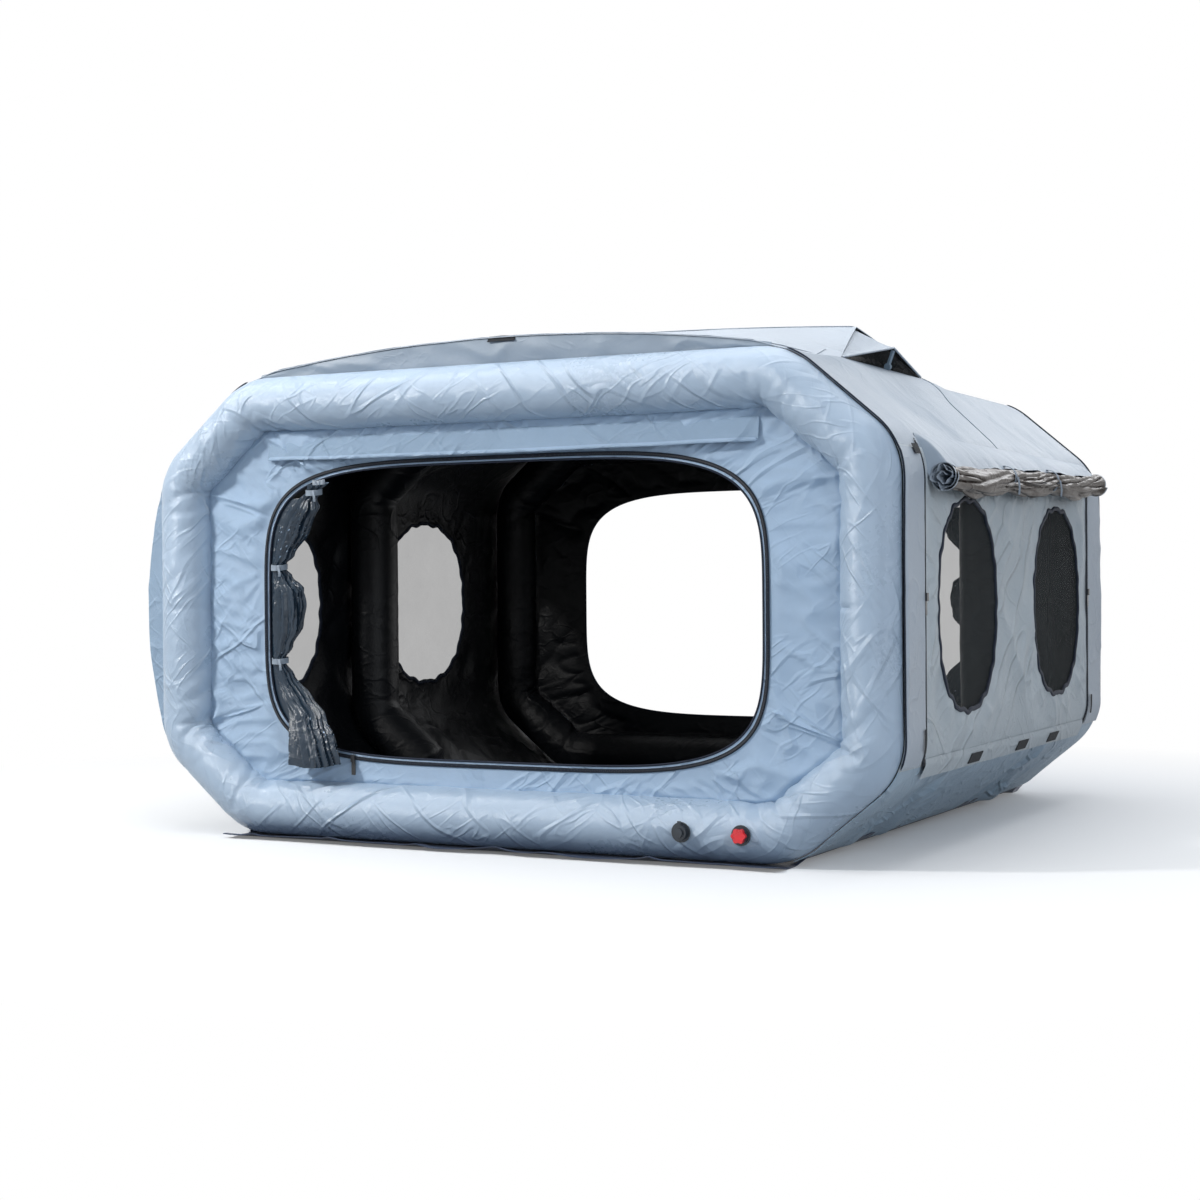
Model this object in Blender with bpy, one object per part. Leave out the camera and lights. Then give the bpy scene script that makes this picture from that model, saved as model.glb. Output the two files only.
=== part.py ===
"""Inflatable tent: octagonal air rings, a fly cover with a vent, mesh windows and roll-up doors.

Metres, +Z up, front towards -Y. The origin is on the ground, under the middle of the tent.
"""

import math

import bpy
from mathutils import Matrix, Vector

# The air rings, measured to the centre line of the tubes
TUBE_RADIUS = 0.100
RING_HALF_WIDTH = 1.320
RING_RISE = 1.439
TOP_CHAMFER_WIDTH = 0.309
TOP_CHAMFER_DROP = 0.263
BOTTOM_CHAMFER_WIDTH = 0.296
BOTTOM_CHAMFER_RISE = 0.244
RING_SPACING = 2.430
BEND_CUT = 0.045
TUBE_SIDES = 12

# Cloth walls and the gaps between them
SLEEVE_WALL = 0.0015
BLADDER_WALL = 0.0015
SHEET_WALL = 0.004
PANEL_WALL = 0.003
MESH_WALL = 0.002
SEWN_GAP = 0.0005
FACE_GAP = 0.0003
CUT_OVERRUN = 0.020

# Ground sheet, with an apron in front of each end ring
GROUND_WALL = 0.003
APRON_DEPTH = 0.070
RING_FLOOR_Z = GROUND_WALL + FACE_GAP
BOTTOM_LINE_Z = RING_FLOOR_Z + TUBE_RADIUS
RING_Y = RING_SPACING / 2
RING_MIDDLE_Z = BOTTOM_LINE_Z + RING_RISE / 2
RING_TOP_Z = BOTTOM_LINE_Z + RING_RISE + TUBE_RADIUS
WALL_HALF_HEIGHT = (RING_RISE - TOP_CHAMFER_DROP - BOTTOM_CHAMFER_RISE) / 2
SLOPE_FOOT_CUT = 0.012

# Doorways, a rounded opening in each end panel
DOOR_SIDE_MARGIN = 0.263
DOOR_TOP_MARGIN = 0.1125
DOOR_LOWERING = 0.0228
DOOR_HALF_WIDTH = RING_HALF_WIDTH - TUBE_RADIUS - DOOR_SIDE_MARGIN
DOOR_HALF_HEIGHT = RING_RISE / 2 - TUBE_RADIUS - DOOR_TOP_MARGIN
DOOR_MIDDLE_Z = RING_MIDDLE_Z - DOOR_LOWERING
DOOR_ROUNDNESS = 4.5
DOOR_POINTS = 48
ZIP_HALF_WIDTH = 0.010
ZIP_WALL = 0.003
DOOR_ZIP_STANDOFF = 0.014

# Rain flap under the front top tube
FLAP_SHORT = 0.007
FLAP_HALF_LENGTH = DOOR_HALF_WIDTH - FLAP_SHORT
FLAP_DROP = 0.078
FLAP_STAND = 0.030
FLAP_TUBE_GAP = 0.020

# Mesh windows, two in each side wall
WINDOW_OFFSET_Y = 0.565
WINDOW_LOWERING = 0.0108
WINDOW_MARGIN = 0.111
WINDOW_MIDDLE_Z = RING_MIDDLE_Z - WINDOW_LOWERING
WINDOW_HALF_WIDTH = 0.325
WINDOW_HALF_HEIGHT = WALL_HALF_HEIGHT - WINDOW_MARGIN
WINDOW_ROUNDNESS = 2.3
WINDOW_POINTS = 32
PIPING_RADIUS = 0.006
PIPING_SIDES = 6

# Zip of each side cover: two uprights and a bottom run
COVER_ZIP_Y = 1.025
COVER_ZIP_TOP_DROP = 0.030
COVER_ZIP_BOTTOM_RISE = 0.040
COVER_ZIP_CORNER = 0.060

# Zip sliders with a webbing pull
SLIDER_HALF_WIDTH = 0.008
SLIDER_LENGTH = 0.026
SLIDER_HEIGHT = 0.008
PULL_LENGTH = 0.045
PULL_WALL = 0.0025
DOOR_SLIDER_X = 0.600
DOOR_SLIDER_RISE = 0.008
COVER_SLIDER_LIFT = 0.0222
COVER_SLIDER_Z = RING_MIDDLE_Z + COVER_SLIDER_LIFT

# Rolled cloth: half sizes where a tie holds it and where it swells
TIE_HALF_LENGTH = 0.010
TIE_WALL = 0.002
TIE_SHOULDER = 0.014
ROLL_SIDES = 20
ROLL_LOBES = 6
ROLL_LOBE_SHARE = 0.10
DOOR_ROLL_HALF_WIDTH = 0.085
DOOR_ROLL_HALF_DEPTH = 0.040
DOOR_TIE_HALF_WIDTH = 0.030
DOOR_TIE_HALF_DEPTH = 0.022
DOOR_ROLL_EASE = 0.016
# Height up the doorway and fullness, from the bottom up
DOOR_ROLL_SHARES = (
    (0.03, 1.00),
    (0.10, 0.95),
    (0.20, 0.80),
    (0.44, 0.90),
    (0.50, 1.00),
    (0.58, 0.92),
    (0.76, 0.85),
    (0.86, 0.70),
    (0.97, 0.30),
)
DOOR_TIE_SHARES = (0.33, 0.66, 0.92)
COVER_ROLL_HALF_LENGTH = 0.985
COVER_ROLL_RADIUS = 0.052
COVER_TIE_RADIUS = 0.042
COVER_ROLL_SAG = 0.016
COVER_ROLL_DROP = 0.070
COVER_ROLL_TILT = 0.020
COVER_TIE_Y = 0.280
# Place along the roll, how far it sags and its fullness, from one end to the other
COVER_ROLL_SHARES = (
    (-1.00, 0.00, 1.00),
    (-0.86, 0.35, 0.90),
    (-0.64, 0.90, 1.00),
    (-0.42, 0.40, 0.92),
    (-0.14, 0.30, 0.95),
    (0.00, 0.60, 1.00),
    (0.14, 0.30, 0.95),
    (0.42, 0.40, 0.92),
    (0.64, 0.90, 1.00),
    (0.86, 0.35, 0.90),
    (1.00, 0.00, 0.95),
)

# Fly roof: an arched front edge, and a ridge across it that ends in a vent on each side
ROOF_CROWN = 0.083
RIDGE_Y = -0.325
RIDGE_HALF_LENGTH = 0.410
RIDGE_END_RISE = 0.145
RIDGE_MIDDLE_RISE = 0.182
RIDGE_END_INSET = 0.100
ROOF_COLUMNS = 16
ROOF_ROWS_SHARES = (-1.0, -0.80, 0.28, 0.52, 0.76, 1.0)
GABLE_END_RISE = 0.010
GABLE_POINTS = 17

# Vents under the ends of the ridge
VISOR_REACH = 0.038
VISOR_TIP_RISE = 0.069
VISOR_WALL = 0.003
VENT_MESH_INSET = 0.030
VENT_MESH_TIP_GAP = 0.006
STRUT_LENGTH = 0.0595
STRUT_HALF_WALL = 0.004
STRUT_HALF_WIDTH = 0.010
STRUT_FOOT_RADIUS = 0.0115
STRUT_PIVOT_OUT = 0.0088
STRUT_LEAN_DEGREES = 20.0
STRUT_FOOT_POINTS = 12

# Valves on the front bottom tube
INFLATION_VALVE_X = 0.712
DEFLATION_VALVE_X = 0.919
VALVE_FLANGE_RADIUS = 0.033
VALVE_FLANGE_HEIGHT = 0.003
VALVE_SEAT_RADIUS = 0.026
VALVE_SEAT_HEIGHT = 0.012
VALVE_STEM_RADIUS = 0.013
VALVE_STEM_DEPTH = 0.016
VALVE_SIDES = 20
CAP_RADIUS = 0.025
CAP_HEIGHT = 0.007
CAP_GRIP_RADIUS = 0.015
CAP_GRIP_HEIGHT = 0.007
CAP_TAB_LENGTH = 0.012
CAP_TAB_HALF_WIDTH = 0.006
CAP_TAB_WALL = 0.003
KNOB_RADIUS = 0.0225
KNOB_LOBE = 0.0025
KNOB_LOBES = 6
KNOB_POINTS = 48
KNOB_HEIGHT = 0.014

# Air hoses that link the rings, low on the right
HOSE_RADIUS = 0.010
HOSE_BORE = 0.007
HOSE_SIDES = 12
HOSE_RUN_SHARE = 0.16

SKIN_OFFSET = TUBE_RADIUS + SEWN_GAP
ACROSS = Vector((1, 0, 0))
ALONG = Vector((0, 1, 0))
UP = Vector((0, 0, 1))


def clear_scene():
    """Remove every object of the open file."""
    for item in list(bpy.data.objects):
        bpy.data.objects.remove(item, do_unlink=True)


def material(name, colour, roughness, metallic=0.0):
    """A Principled material of one plain colour."""
    finish = bpy.data.materials.new(name)
    finish.use_nodes = True
    shader = finish.node_tree.nodes["Principled BSDF"]
    shader.inputs["Base Color"].default_value = (*colour, 1)
    shader.inputs["Roughness"].default_value = roughness
    shader.inputs["Metallic"].default_value = metallic
    return finish


def frame(origin, x_axis, y_axis):
    """The matrix of a flat working plane: its third axis points off the plane."""
    z_axis = x_axis.cross(y_axis)
    matrix = Matrix((x_axis, y_axis, z_axis)).transposed().to_4x4()
    matrix.translation = origin
    return matrix


def signed_volume(verts, faces):
    """Volume inside a closed surface, below zero where its faces point inwards."""
    total = 0.0
    for face in faces:
        for second, third in zip(face[1:], face[2:]):
            total += verts[face[0]].dot(verts[second].cross(verts[third]))
    return total / 6


def loft(loops, wrap=False, hollow=False):
    """A closed surface through loops of points; its faces point into the loft where it is hollow."""
    count = len(loops[0])
    verts = [point for loop in loops for point in loop]
    faces = []
    for row in range(len(loops) if wrap else len(loops) - 1):
        first = row * count
        second = (row + 1) % len(loops) * count
        for column in range(count):
            after = (column + 1) % count
            faces.append((first + column, first + after, second + after, second + column))
    if not wrap:
        last = (len(loops) - 1) * count
        faces.append(tuple(reversed(range(count))))
        faces.append(tuple(range(last, last + count)))
    if (signed_volume(verts, faces) < 0) != hollow:
        faces = [tuple(reversed(face)) for face in faces]
    return verts, faces


def solid(name, surfaces, placed, finish, smooth=False):
    """One object from closed surfaces, at the place that a matrix gives."""
    verts = []
    faces = []
    for points, polygons in surfaces:
        start = len(verts)
        verts.extend(points)
        faces.extend([tuple(start + index for index in polygon) for polygon in polygons])
    mesh = bpy.data.meshes.new(name)
    mesh.from_pydata(verts, [], faces)
    mesh.materials.append(finish)
    if smooth:
        mesh.shade_smooth()
        mesh.set_sharp_from_angle(angle=math.radians(40))
    item = bpy.data.objects.new(name, mesh)
    bpy.context.collection.objects.link(item)
    item.matrix_world = placed
    return item


def plate(name, outline, thickness, placed, finish, holes=()):
    """A flat sheet with holes, as thick to either side of its working plane."""
    curve = bpy.data.curves.new(name, "CURVE")
    curve.dimensions = "2D"
    curve.fill_mode = "BOTH"
    curve.extrude = thickness / 2
    for points in (outline, *holes):
        spline = curve.splines.new("POLY")
        spline.points.add(len(points) - 1)
        for target, point in zip(spline.points, points):
            target.co = (point[0], point[1], 0, 1)
        spline.use_cyclic_u = True
    curve.materials.append(finish)
    item = bpy.data.objects.new(name, curve)
    bpy.context.collection.objects.link(item)
    item.matrix_world = placed
    return item


def cut(item, cutter):
    """Take a cutter's space out of an object."""
    cutter.hide_render = True
    cutter.display_type = "WIRE"
    step = item.modifiers.new(cutter.name, "BOOLEAN")
    step.operation = "DIFFERENCE"
    step.object = cutter


def circle(radius, count, start=0.0):
    """Points round a circle."""
    turn = 2 * math.pi / count
    return [
        (radius * math.cos(start + turn * index), radius * math.sin(start + turn * index))
        for index in range(count)
    ]


def cylinder(name, radius, low, high, placed, finish, bore=0.0, sides=HOSE_SIDES):
    """A round bar or, with a bore, an open tube, along the third axis of its working plane."""
    outer = circle(radius, sides)
    loops = [[Vector((x, y, height)) for x, y in outer] for height in (low, high)]
    if bore:
        inner = circle(bore, sides)
        loops += [[Vector((x, y, height)) for x, y in inner] for height in (high, low)]
    return solid(name, [loft(loops, wrap=bool(bore))], placed, finish, smooth=True)


def lathe(name, profile, placed, finish, sides=VALVE_SIDES):
    """A turned piece from (radius, height) pairs, closed flat at both ends."""
    loops = [
        [Vector((x, y, height)) for x, y in circle(radius, sides)]
        for radius, height in profile
    ]
    return solid(name, [loft(loops)], placed, finish, smooth=True)


def mitres(path, closed):
    """At each point of a path, the outward step that moves both its neighbours' sides out by one."""
    steps = []
    for index, point in enumerate(path):
        sides = []
        if closed or index > 0:
            sides.append((point - path[index - 1]).normalized())
        if closed or index < len(path) - 1:
            sides.append((path[(index + 1) % len(path)] - point).normalized())
        normals = [Vector((side.y, -side.x)) for side in sides]
        total = sum(normals, Vector((0, 0)))
        steps.append(total / (1 + normals[0].dot(normals[-1])) if len(sides) > 1 else total)
    return steps


def swept_loops(path, profile, closed):
    """Loops of a profile of (outward, off the plane) pairs, carried along a flat path."""
    loops = []
    for point, step in zip(path, mitres(path, closed)):
        loops.append(
            [
                Vector((point.x + step.x * outward, point.y + step.y * outward, off))
                for outward, off in profile
            ]
        )
    return loops


def rounded(half_width, half_height, roundness, count, middle=(0, 0)):
    """A rounded opening, fuller at its corners the higher its roundness, run anticlockwise."""
    points = []
    for index in range(count):
        angle = 2 * math.pi * index / count
        reach_x = abs(math.cos(angle)) ** (2 / roundness)
        reach_y = abs(math.sin(angle)) ** (2 / roundness)
        points.append(
            Vector(
                (
                    middle[0] + math.copysign(half_width * reach_x, math.cos(angle)),
                    middle[1] + math.copysign(half_height * reach_y, math.sin(angle)),
                )
            )
        )
    return points


def ring_corners():
    """Corners of the rings' centre line, anticlockwise from the bottom right."""
    top_z = BOTTOM_LINE_Z + RING_RISE
    right = [
        (RING_HALF_WIDTH - BOTTOM_CHAMFER_WIDTH, BOTTOM_LINE_Z),
        (RING_HALF_WIDTH, BOTTOM_LINE_Z + BOTTOM_CHAMFER_RISE),
        (RING_HALF_WIDTH, top_z - TOP_CHAMFER_DROP),
        (RING_HALF_WIDTH - TOP_CHAMFER_WIDTH, top_z),
    ]
    left = [(-x, z) for x, z in reversed(right)]
    return [Vector(point) for point in right + left]


def offset_corners(distance):
    """The ring corners, with every side moved out by a distance."""
    corners = ring_corners()
    return [
        corner + step * distance for corner, step in zip(corners, mitres(corners, True))
    ]


def bent_path(corners, closed):
    """A path with each corner cut to a short bend."""
    path = []
    for index, corner in enumerate(corners):
        at_end = not closed and index in (0, len(corners) - 1)
        if at_end:
            path.append(corner)
            continue
        before = (corners[index - 1] - corner).normalized()
        after = (corners[(index + 1) % len(corners)] - corner).normalized()
        path.append(corner + before * BEND_CUT)
        path.append(corner + after * BEND_CUT)
    return path


def bent_outline(distance):
    """The rings' bent centre line, moved out by a distance."""
    path = bent_path(ring_corners(), True)
    return [point + step * distance for point, step in zip(path, mitres(path, True))]


def tube_profile(radius):
    """Cross-section of a tube whose flats lie at its radius, one of them facing each way."""
    half_turn = math.pi / TUBE_SIDES
    return circle(radius / math.cos(half_turn), TUBE_SIDES, half_turn)


def tube_port(name, radius, placed):
    """A cutter through one wall of a tube, from its centre line outwards."""
    return cylinder(
        name, radius, 0, TUBE_RADIUS + CUT_OVERRUN, placed, FINISHES["valve_black"]
    )


def end_ring(title, placed, ports):
    """A closed octagonal sleeve and the bladder in it, with the holes that its air goes through."""
    path = bent_path(ring_corners(), True)
    bladder_radius = TUBE_RADIUS - SLEEVE_WALL - SEWN_GAP
    shells = (
        ("sleeve", TUBE_RADIUS, SLEEVE_WALL, "sleeve_cloth"),
        ("bladder", bladder_radius, BLADDER_WALL, "bladder_film"),
    )
    for kind, radius, wall, finish in shells:
        outer = swept_loops(path, tube_profile(radius), True)
        inner = swept_loops(path, tube_profile(radius - wall), True)
        surfaces = [loft(outer, wrap=True), loft(inner, wrap=True, hollow=True)]
        name = f"{title}_ring_{kind}"
        ring = solid(name, surfaces, placed, FINISHES[finish], smooth=True)
        for number, (sleeve_hole, bladder_hole, port_frame) in enumerate(ports):
            hole = sleeve_hole if kind == "sleeve" else bladder_hole
            cut(ring, tube_port(f"{name}_port_{number}", hole, port_frame))


def middle_arch(placed, ports):
    """The middle sleeve, open at its feet, and the bladder in it."""
    path = bent_path(ring_corners(), False)
    outer = swept_loops(path, tube_profile(TUBE_RADIUS), False)
    inner = swept_loops(path, tube_profile(TUBE_RADIUS - SLEEVE_WALL), False)
    sleeve = solid(
        "middle_arch_sleeve",
        [loft(outer + inner[::-1], wrap=True)],
        placed,
        FINISHES["lining_cloth"],
        smooth=True,
    )
    radius = TUBE_RADIUS - SLEEVE_WALL - SEWN_GAP
    shortened = pulled_in(path, BLADDER_WALL)
    shells = [
        loft(swept_loops(path, tube_profile(radius), False)),
        loft(
            swept_loops(shortened, tube_profile(radius - BLADDER_WALL), False), hollow=True
        ),
    ]
    bladder = solid(
        "middle_arch_bladder", shells, placed, FINISHES["bladder_film"], smooth=True
    )
    for number, (sleeve_hole, bladder_hole, port_frame) in enumerate(ports):
        cut(sleeve, tube_port(f"arch_sleeve_port_{number}", sleeve_hole, port_frame))
        cut(bladder, tube_port(f"arch_bladder_port_{number}", bladder_hole, port_frame))


def pulled_in(path, distance):
    """An open path with both its ends drawn back."""
    first = path[0] + (path[1] - path[0]).normalized() * distance
    last = path[-1] + (path[-2] - path[-1]).normalized() * distance
    return [first, *path[1:-1], last]


def hose_place():
    """Where the air hoses meet the rings, across and up."""
    low, high = ring_corners()[:2]
    return low.lerp(high, HOSE_RUN_SHARE)


def air_hoses():
    """The hoses between the rings, each ending at the bladders' walls."""
    place = hose_place()
    reach = RING_Y - 2 * (TUBE_RADIUS - SLEEVE_WALL)
    for title, side in (("front", -1), ("rear", 1)):
        placed = frame(
            Vector((place.x, side * RING_Y / 2, place.y)), ACROSS * -side, UP
        )
        cylinder(
            f"{title}_air_hose",
            HOSE_RADIUS,
            -reach / 2,
            reach / 2,
            placed,
            FINISHES["valve_black"],
            bore=HOSE_BORE,
        )


def hose_ports(y_middle, sides):
    """Holes for the hoses in the tubes at one ring plane."""
    place = hose_place()
    holes = []
    for side in sides:
        port_frame = frame(Vector((place.x, y_middle, place.y)), ACROSS * -side, UP)
        holes.append((HOSE_RADIUS + SEWN_GAP, HOSE_BORE, port_frame))
    return holes


def skin_panel(name, first, finish, foot_cut=0.0, holes=()):
    """A flat strip of the cover on the outside of the rings, between two of their corners."""
    corners = offset_corners(SKIN_OFFSET)
    start, end = corners[first], corners[first + 1]
    rise = (end - start).normalized()
    length = (end - start).length
    low = start if start.y < end.y else end
    up_strip = rise if start.y < end.y else -rise
    along = ALONG if start.y < end.y else -ALONG
    outline = [
        (-RING_Y, FACE_GAP + foot_cut),
        (RING_Y, FACE_GAP + foot_cut),
        (RING_Y, length - FACE_GAP),
        (-RING_Y, length - FACE_GAP),
    ]
    placed = frame(Vector((low.x, 0, low.y)), along, Vector((up_strip.x, 0, up_strip.y)))
    placed = placed @ Matrix.Translation((0, 0, SHEET_WALL / 2))
    return plate(name, outline, SHEET_WALL, placed, finish, holes)


def window_places():
    """Middles of a side wall's windows, along the wall and above the ground."""
    return ((-WINDOW_OFFSET_Y, WINDOW_MIDDLE_Z), (WINDOW_OFFSET_Y, WINDOW_MIDDLE_Z))


def window_outline(shrink, middle):
    """The outline of a window, drawn in by a distance."""
    return rounded(
        WINDOW_HALF_WIDTH - shrink,
        WINDOW_HALF_HEIGHT - shrink,
        WINDOW_ROUNDNESS,
        WINDOW_POINTS,
        middle,
    )


def side(title, first):
    """One side of the tent: wall, windows, slopes, cover zip, sliders and rolled cover."""
    low, high = sorted(offset_corners(SKIN_OFFSET)[first : first + 2], key=lambda p: p.y)
    out = ACROSS if title == "right" else -ACROSS
    along = ALONG if title == "right" else -ALONG
    lifted = [(y, z - low.y) for y, z in window_places()]
    holes = [window_outline(0, middle) for middle in lifted]
    skin_panel(f"{title}_side_wall", first, FINISHES["cover_cloth"], holes=holes)
    upper, lower = (first + 1, first - 1) if title == "right" else (first - 1, first + 1)
    skin_panel(f"{title}_roof_slope", upper, FINISHES["cover_cloth"])
    skin_panel(
        f"{title}_bottom_slope", lower, FINISHES["base_cloth"], foot_cut=SLOPE_FOOT_CUT
    )

    wall = frame(out * (abs(low.x) + SHEET_WALL), along, UP)
    mesh_plane = wall @ Matrix.Translation((0, 0, -SHEET_WALL / 2))
    for y, z in window_places():
        end = "front" if (y < 0) == (title == "right") else "rear"
        plate(
            f"{title}_{end}_window_mesh",
            window_outline(FACE_GAP, (y, z)),
            MESH_WALL,
            mesh_plane,
            FINISHES["window_mesh"],
        )
        off_wall = PIPING_RADIUS + FACE_GAP
        section = circle(PIPING_RADIUS, PIPING_SIDES, math.pi / PIPING_SIDES)
        profile = [(a, off_wall + b) for a, b in section]
        loops = swept_loops(window_outline(-PIPING_RADIUS, (y, z)), profile, True)
        solid(
            f"{title}_{end}_window_piping",
            [loft(loops, wrap=True)],
            wall,
            FINISHES["binding"],
            smooth=True,
        )

    side_cover_zip(title, wall, low.y, high.y)
    for y in (-COVER_ZIP_Y, COVER_ZIP_Y):
        end = "front" if (y < 0) == (title == "right") else "rear"
        zip_slider(f"{title}_{end}_cover_slider", wall, y, COVER_SLIDER_Z, 0)
    rolled_cover(title, wall, high.y)


def side_cover_zip(title, wall, low_z, high_z):
    """The zip tape of a side cover: down one upright, along the bottom and up the other."""
    bottom = low_z + COVER_ZIP_BOTTOM_RISE
    top = high_z - COVER_ZIP_TOP_DROP
    path = [
        (COVER_ZIP_Y, top),
        (COVER_ZIP_Y, bottom + COVER_ZIP_CORNER),
        (COVER_ZIP_Y - COVER_ZIP_CORNER, bottom),
        (COVER_ZIP_CORNER - COVER_ZIP_Y, bottom),
        (-COVER_ZIP_Y, bottom + COVER_ZIP_CORNER),
        (-COVER_ZIP_Y, top),
    ]
    loops = swept_loops([Vector(point) for point in path], zip_profile(0), False)
    solid(f"{title}_cover_zip", [loft(loops)], wall, FINISHES["zip_tape"])


def zip_profile(surface):
    """Cross-section of a zip tape that lies on a surface this far off the working plane."""
    low = surface + FACE_GAP
    high = low + ZIP_WALL
    return [
        (-ZIP_HALF_WIDTH, low),
        (ZIP_HALF_WIDTH, low),
        (ZIP_HALF_WIDTH, high),
        (-ZIP_HALF_WIDTH, high),
    ]


def zip_slider(name, plane, across, up, surface):
    """A slider on a zip tape, with its webbing pull hanging below, as one stepped outline."""
    off = surface + ZIP_WALL + 2 * FACE_GAP
    half = SLIDER_LENGTH / 2
    pull_end = half + PULL_LENGTH
    outline = [
        (off, half),
        (off, -pull_end),
        (off + PULL_WALL, -pull_end),
        (off + PULL_WALL, -half),
        (off + SLIDER_HEIGHT, -half),
        (off + SLIDER_HEIGHT, half),
    ]
    turned = Matrix.Rotation(-math.pi / 2, 4, "Y")
    placed = plane @ Matrix.Translation((across, up, 0)) @ turned
    plate(name, outline, 2 * SLIDER_HALF_WIDTH, placed, FINISHES["slider_black"])


def roll_loop(station, upright):
    """One lobed loop of a roll: place along, across and off the plane, half sizes and lobe depth."""
    along, across, off, half_across, half_off, lobe = station
    points = []
    for index in range(ROLL_SIDES):
        angle = 2 * math.pi * index / ROLL_SIDES
        swell = 1 - lobe * (1 - math.cos(ROLL_LOBES * angle)) / 2
        a = across + half_across * swell * math.cos(angle)
        b = off + half_off * swell * math.sin(angle)
        points.append(Vector((a, along, b)) if upright else Vector((along, a, b)))
    return points


def roll_with_ties(name, tie_names, plane, stations, ties, upright, finish):
    """A rolled cloth, drawn in at its ties, and a webbing tie round each waist."""
    waists = []
    for tie_name, tie in zip(tie_names, ties):
        along, across, off, half_across, half_off = tie
        loops = []
        for grow in (FACE_GAP + TIE_WALL, FACE_GAP):
            for step in (-TIE_HALF_LENGTH, TIE_HALF_LENGTH):
                end = step if grow > FACE_GAP else -step
                ring = (along + end, across, off, half_across + grow, half_off + grow, 0)
                loops.append(roll_loop(ring, upright))
        solid(tie_name, [loft(loops, wrap=True)], plane, FINISHES["webbing"])
        for step in (-TIE_SHOULDER, TIE_SHOULDER):
            waists.append((along + step, across, off, half_across, half_off, 0))
    ordered = sorted(stations + waists)
    loops = [roll_loop(station, upright) for station in ordered]
    solid(name, [loft(loops)], plane, finish, smooth=True)


def rolled_cover(title, wall, high_z):
    """A side cover rolled up under the roof slope, held by two ties."""
    middle_z = high_z - COVER_ROLL_DROP
    back = FACE_GAP + TIE_WALL + FACE_GAP
    tilt = COVER_ROLL_TILT if title == "right" else -COVER_ROLL_TILT
    tie_rise = tilt * COVER_TIE_Y / COVER_ROLL_HALF_LENGTH
    stations = []
    for along, sag, fullness in COVER_ROLL_SHARES:
        radius = COVER_ROLL_RADIUS * fullness
        stations.append(
            (
                along * COVER_ROLL_HALF_LENGTH,
                middle_z - sag * COVER_ROLL_SAG + along * tilt,
                back + radius,
                radius,
                radius,
                ROLL_LOBE_SHARE,
            )
        )
    ties = [
        (
            way * COVER_TIE_Y,
            middle_z + way * tie_rise,
            back + COVER_TIE_RADIUS,
            COVER_TIE_RADIUS,
            COVER_TIE_RADIUS,
        )
        for way in (-1, 1)
    ]
    ends = ("front", "rear") if title == "right" else ("rear", "front")
    names = [f"{title}_cover_{end}_tie" for end in ends]
    roll_with_ties(
        f"{title}_rolled_cover", names, wall, stations, ties, False, FINISHES["rolled_cover"]
    )


def door_roll_place(up, half_width):
    """Height of a roll's station, and how far out its middle lies against the doorway's edge."""
    rise = (2 * up - 1) * DOOR_HALF_HEIGHT
    reach_share = abs(rise) / DOOR_HALF_HEIGHT
    edge_share = min(1, (abs(rise) + TIE_SHOULDER) / DOOR_HALF_HEIGHT)
    inset_share = 1 - (1 - edge_share**DOOR_ROUNDNESS) ** (1 / DOOR_ROUNDNESS)
    drawn_in = inset_share * DOOR_HALF_WIDTH + reach_share * DOOR_ROLL_EASE
    return DOOR_MIDDLE_Z + rise, DOOR_HALF_WIDTH - drawn_in - SEWN_GAP - half_width


def tied_door(title, plane, tie_count):
    """A door rolled to one edge of its doorway and tied back there."""
    stations = []
    for up, fullness in DOOR_ROLL_SHARES:
        half_width = DOOR_ROLL_HALF_WIDTH * fullness
        z, out = door_roll_place(up, half_width)
        half_depth = DOOR_ROLL_HALF_DEPTH * fullness
        stations.append((z, -out, 0, half_width, half_depth, ROLL_LOBE_SHARE))
    ties = []
    for up in DOOR_TIE_SHARES:
        z, out = door_roll_place(up, DOOR_TIE_HALF_WIDTH + TIE_WALL + FACE_GAP)
        ties.append((z, -out, 0, DOOR_TIE_HALF_WIDTH, DOOR_TIE_HALF_DEPTH))
    names = [f"{title}_door_{part}_tie" for part in ("lower", "middle", "upper")]
    if tie_count < len(ties):
        del ties[1], names[1]
    roll_with_ties(
        f"{title}_rolled_door", names, plane, stations, ties, True, FINISHES["rolled_door"]
    )


def door_outline(grow):
    """The outline of a doorway, grown by a distance."""
    return rounded(
        DOOR_HALF_WIDTH + grow,
        DOOR_HALF_HEIGHT + grow,
        DOOR_ROUNDNESS,
        DOOR_POINTS,
        (0, DOOR_MIDDLE_Z),
    )


def end_panel(title, plane):
    """An end panel in its ring, the zip round its doorway and the door tied back."""
    plate(
        f"{title}_panel",
        bent_outline(-TUBE_RADIUS - SEWN_GAP),
        PANEL_WALL,
        plane,
        FINISHES["panel_cloth"],
        [door_outline(0)],
    )
    path = door_outline(DOOR_ZIP_STANDOFF)
    loops = swept_loops(path, zip_profile(PANEL_WALL / 2), True)
    solid(f"{title}_door_zip", [loft(loops, wrap=True)], plane, FINISHES["zip_tape"])


def rain_flap():
    """The flap that sheds rain over the front doorway, hanging clear of the panel."""
    top = RING_TOP_Z - 2 * TUBE_RADIUS - FLAP_TUBE_GAP
    near = PANEL_WALL / 2 + FACE_GAP
    outline = [
        (near, top),
        (near, top - PANEL_WALL),
        (near + FLAP_STAND, top - FLAP_DROP),
        (near + FLAP_STAND + PANEL_WALL, top - FLAP_DROP),
        (near + PANEL_WALL, top),
    ]
    placed = frame(Vector((0, -RING_Y, 0)), -ALONG, UP)
    plate("rain_flap", outline, 2 * FLAP_HALF_LENGTH, placed, FINISHES["panel_cloth"])


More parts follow.
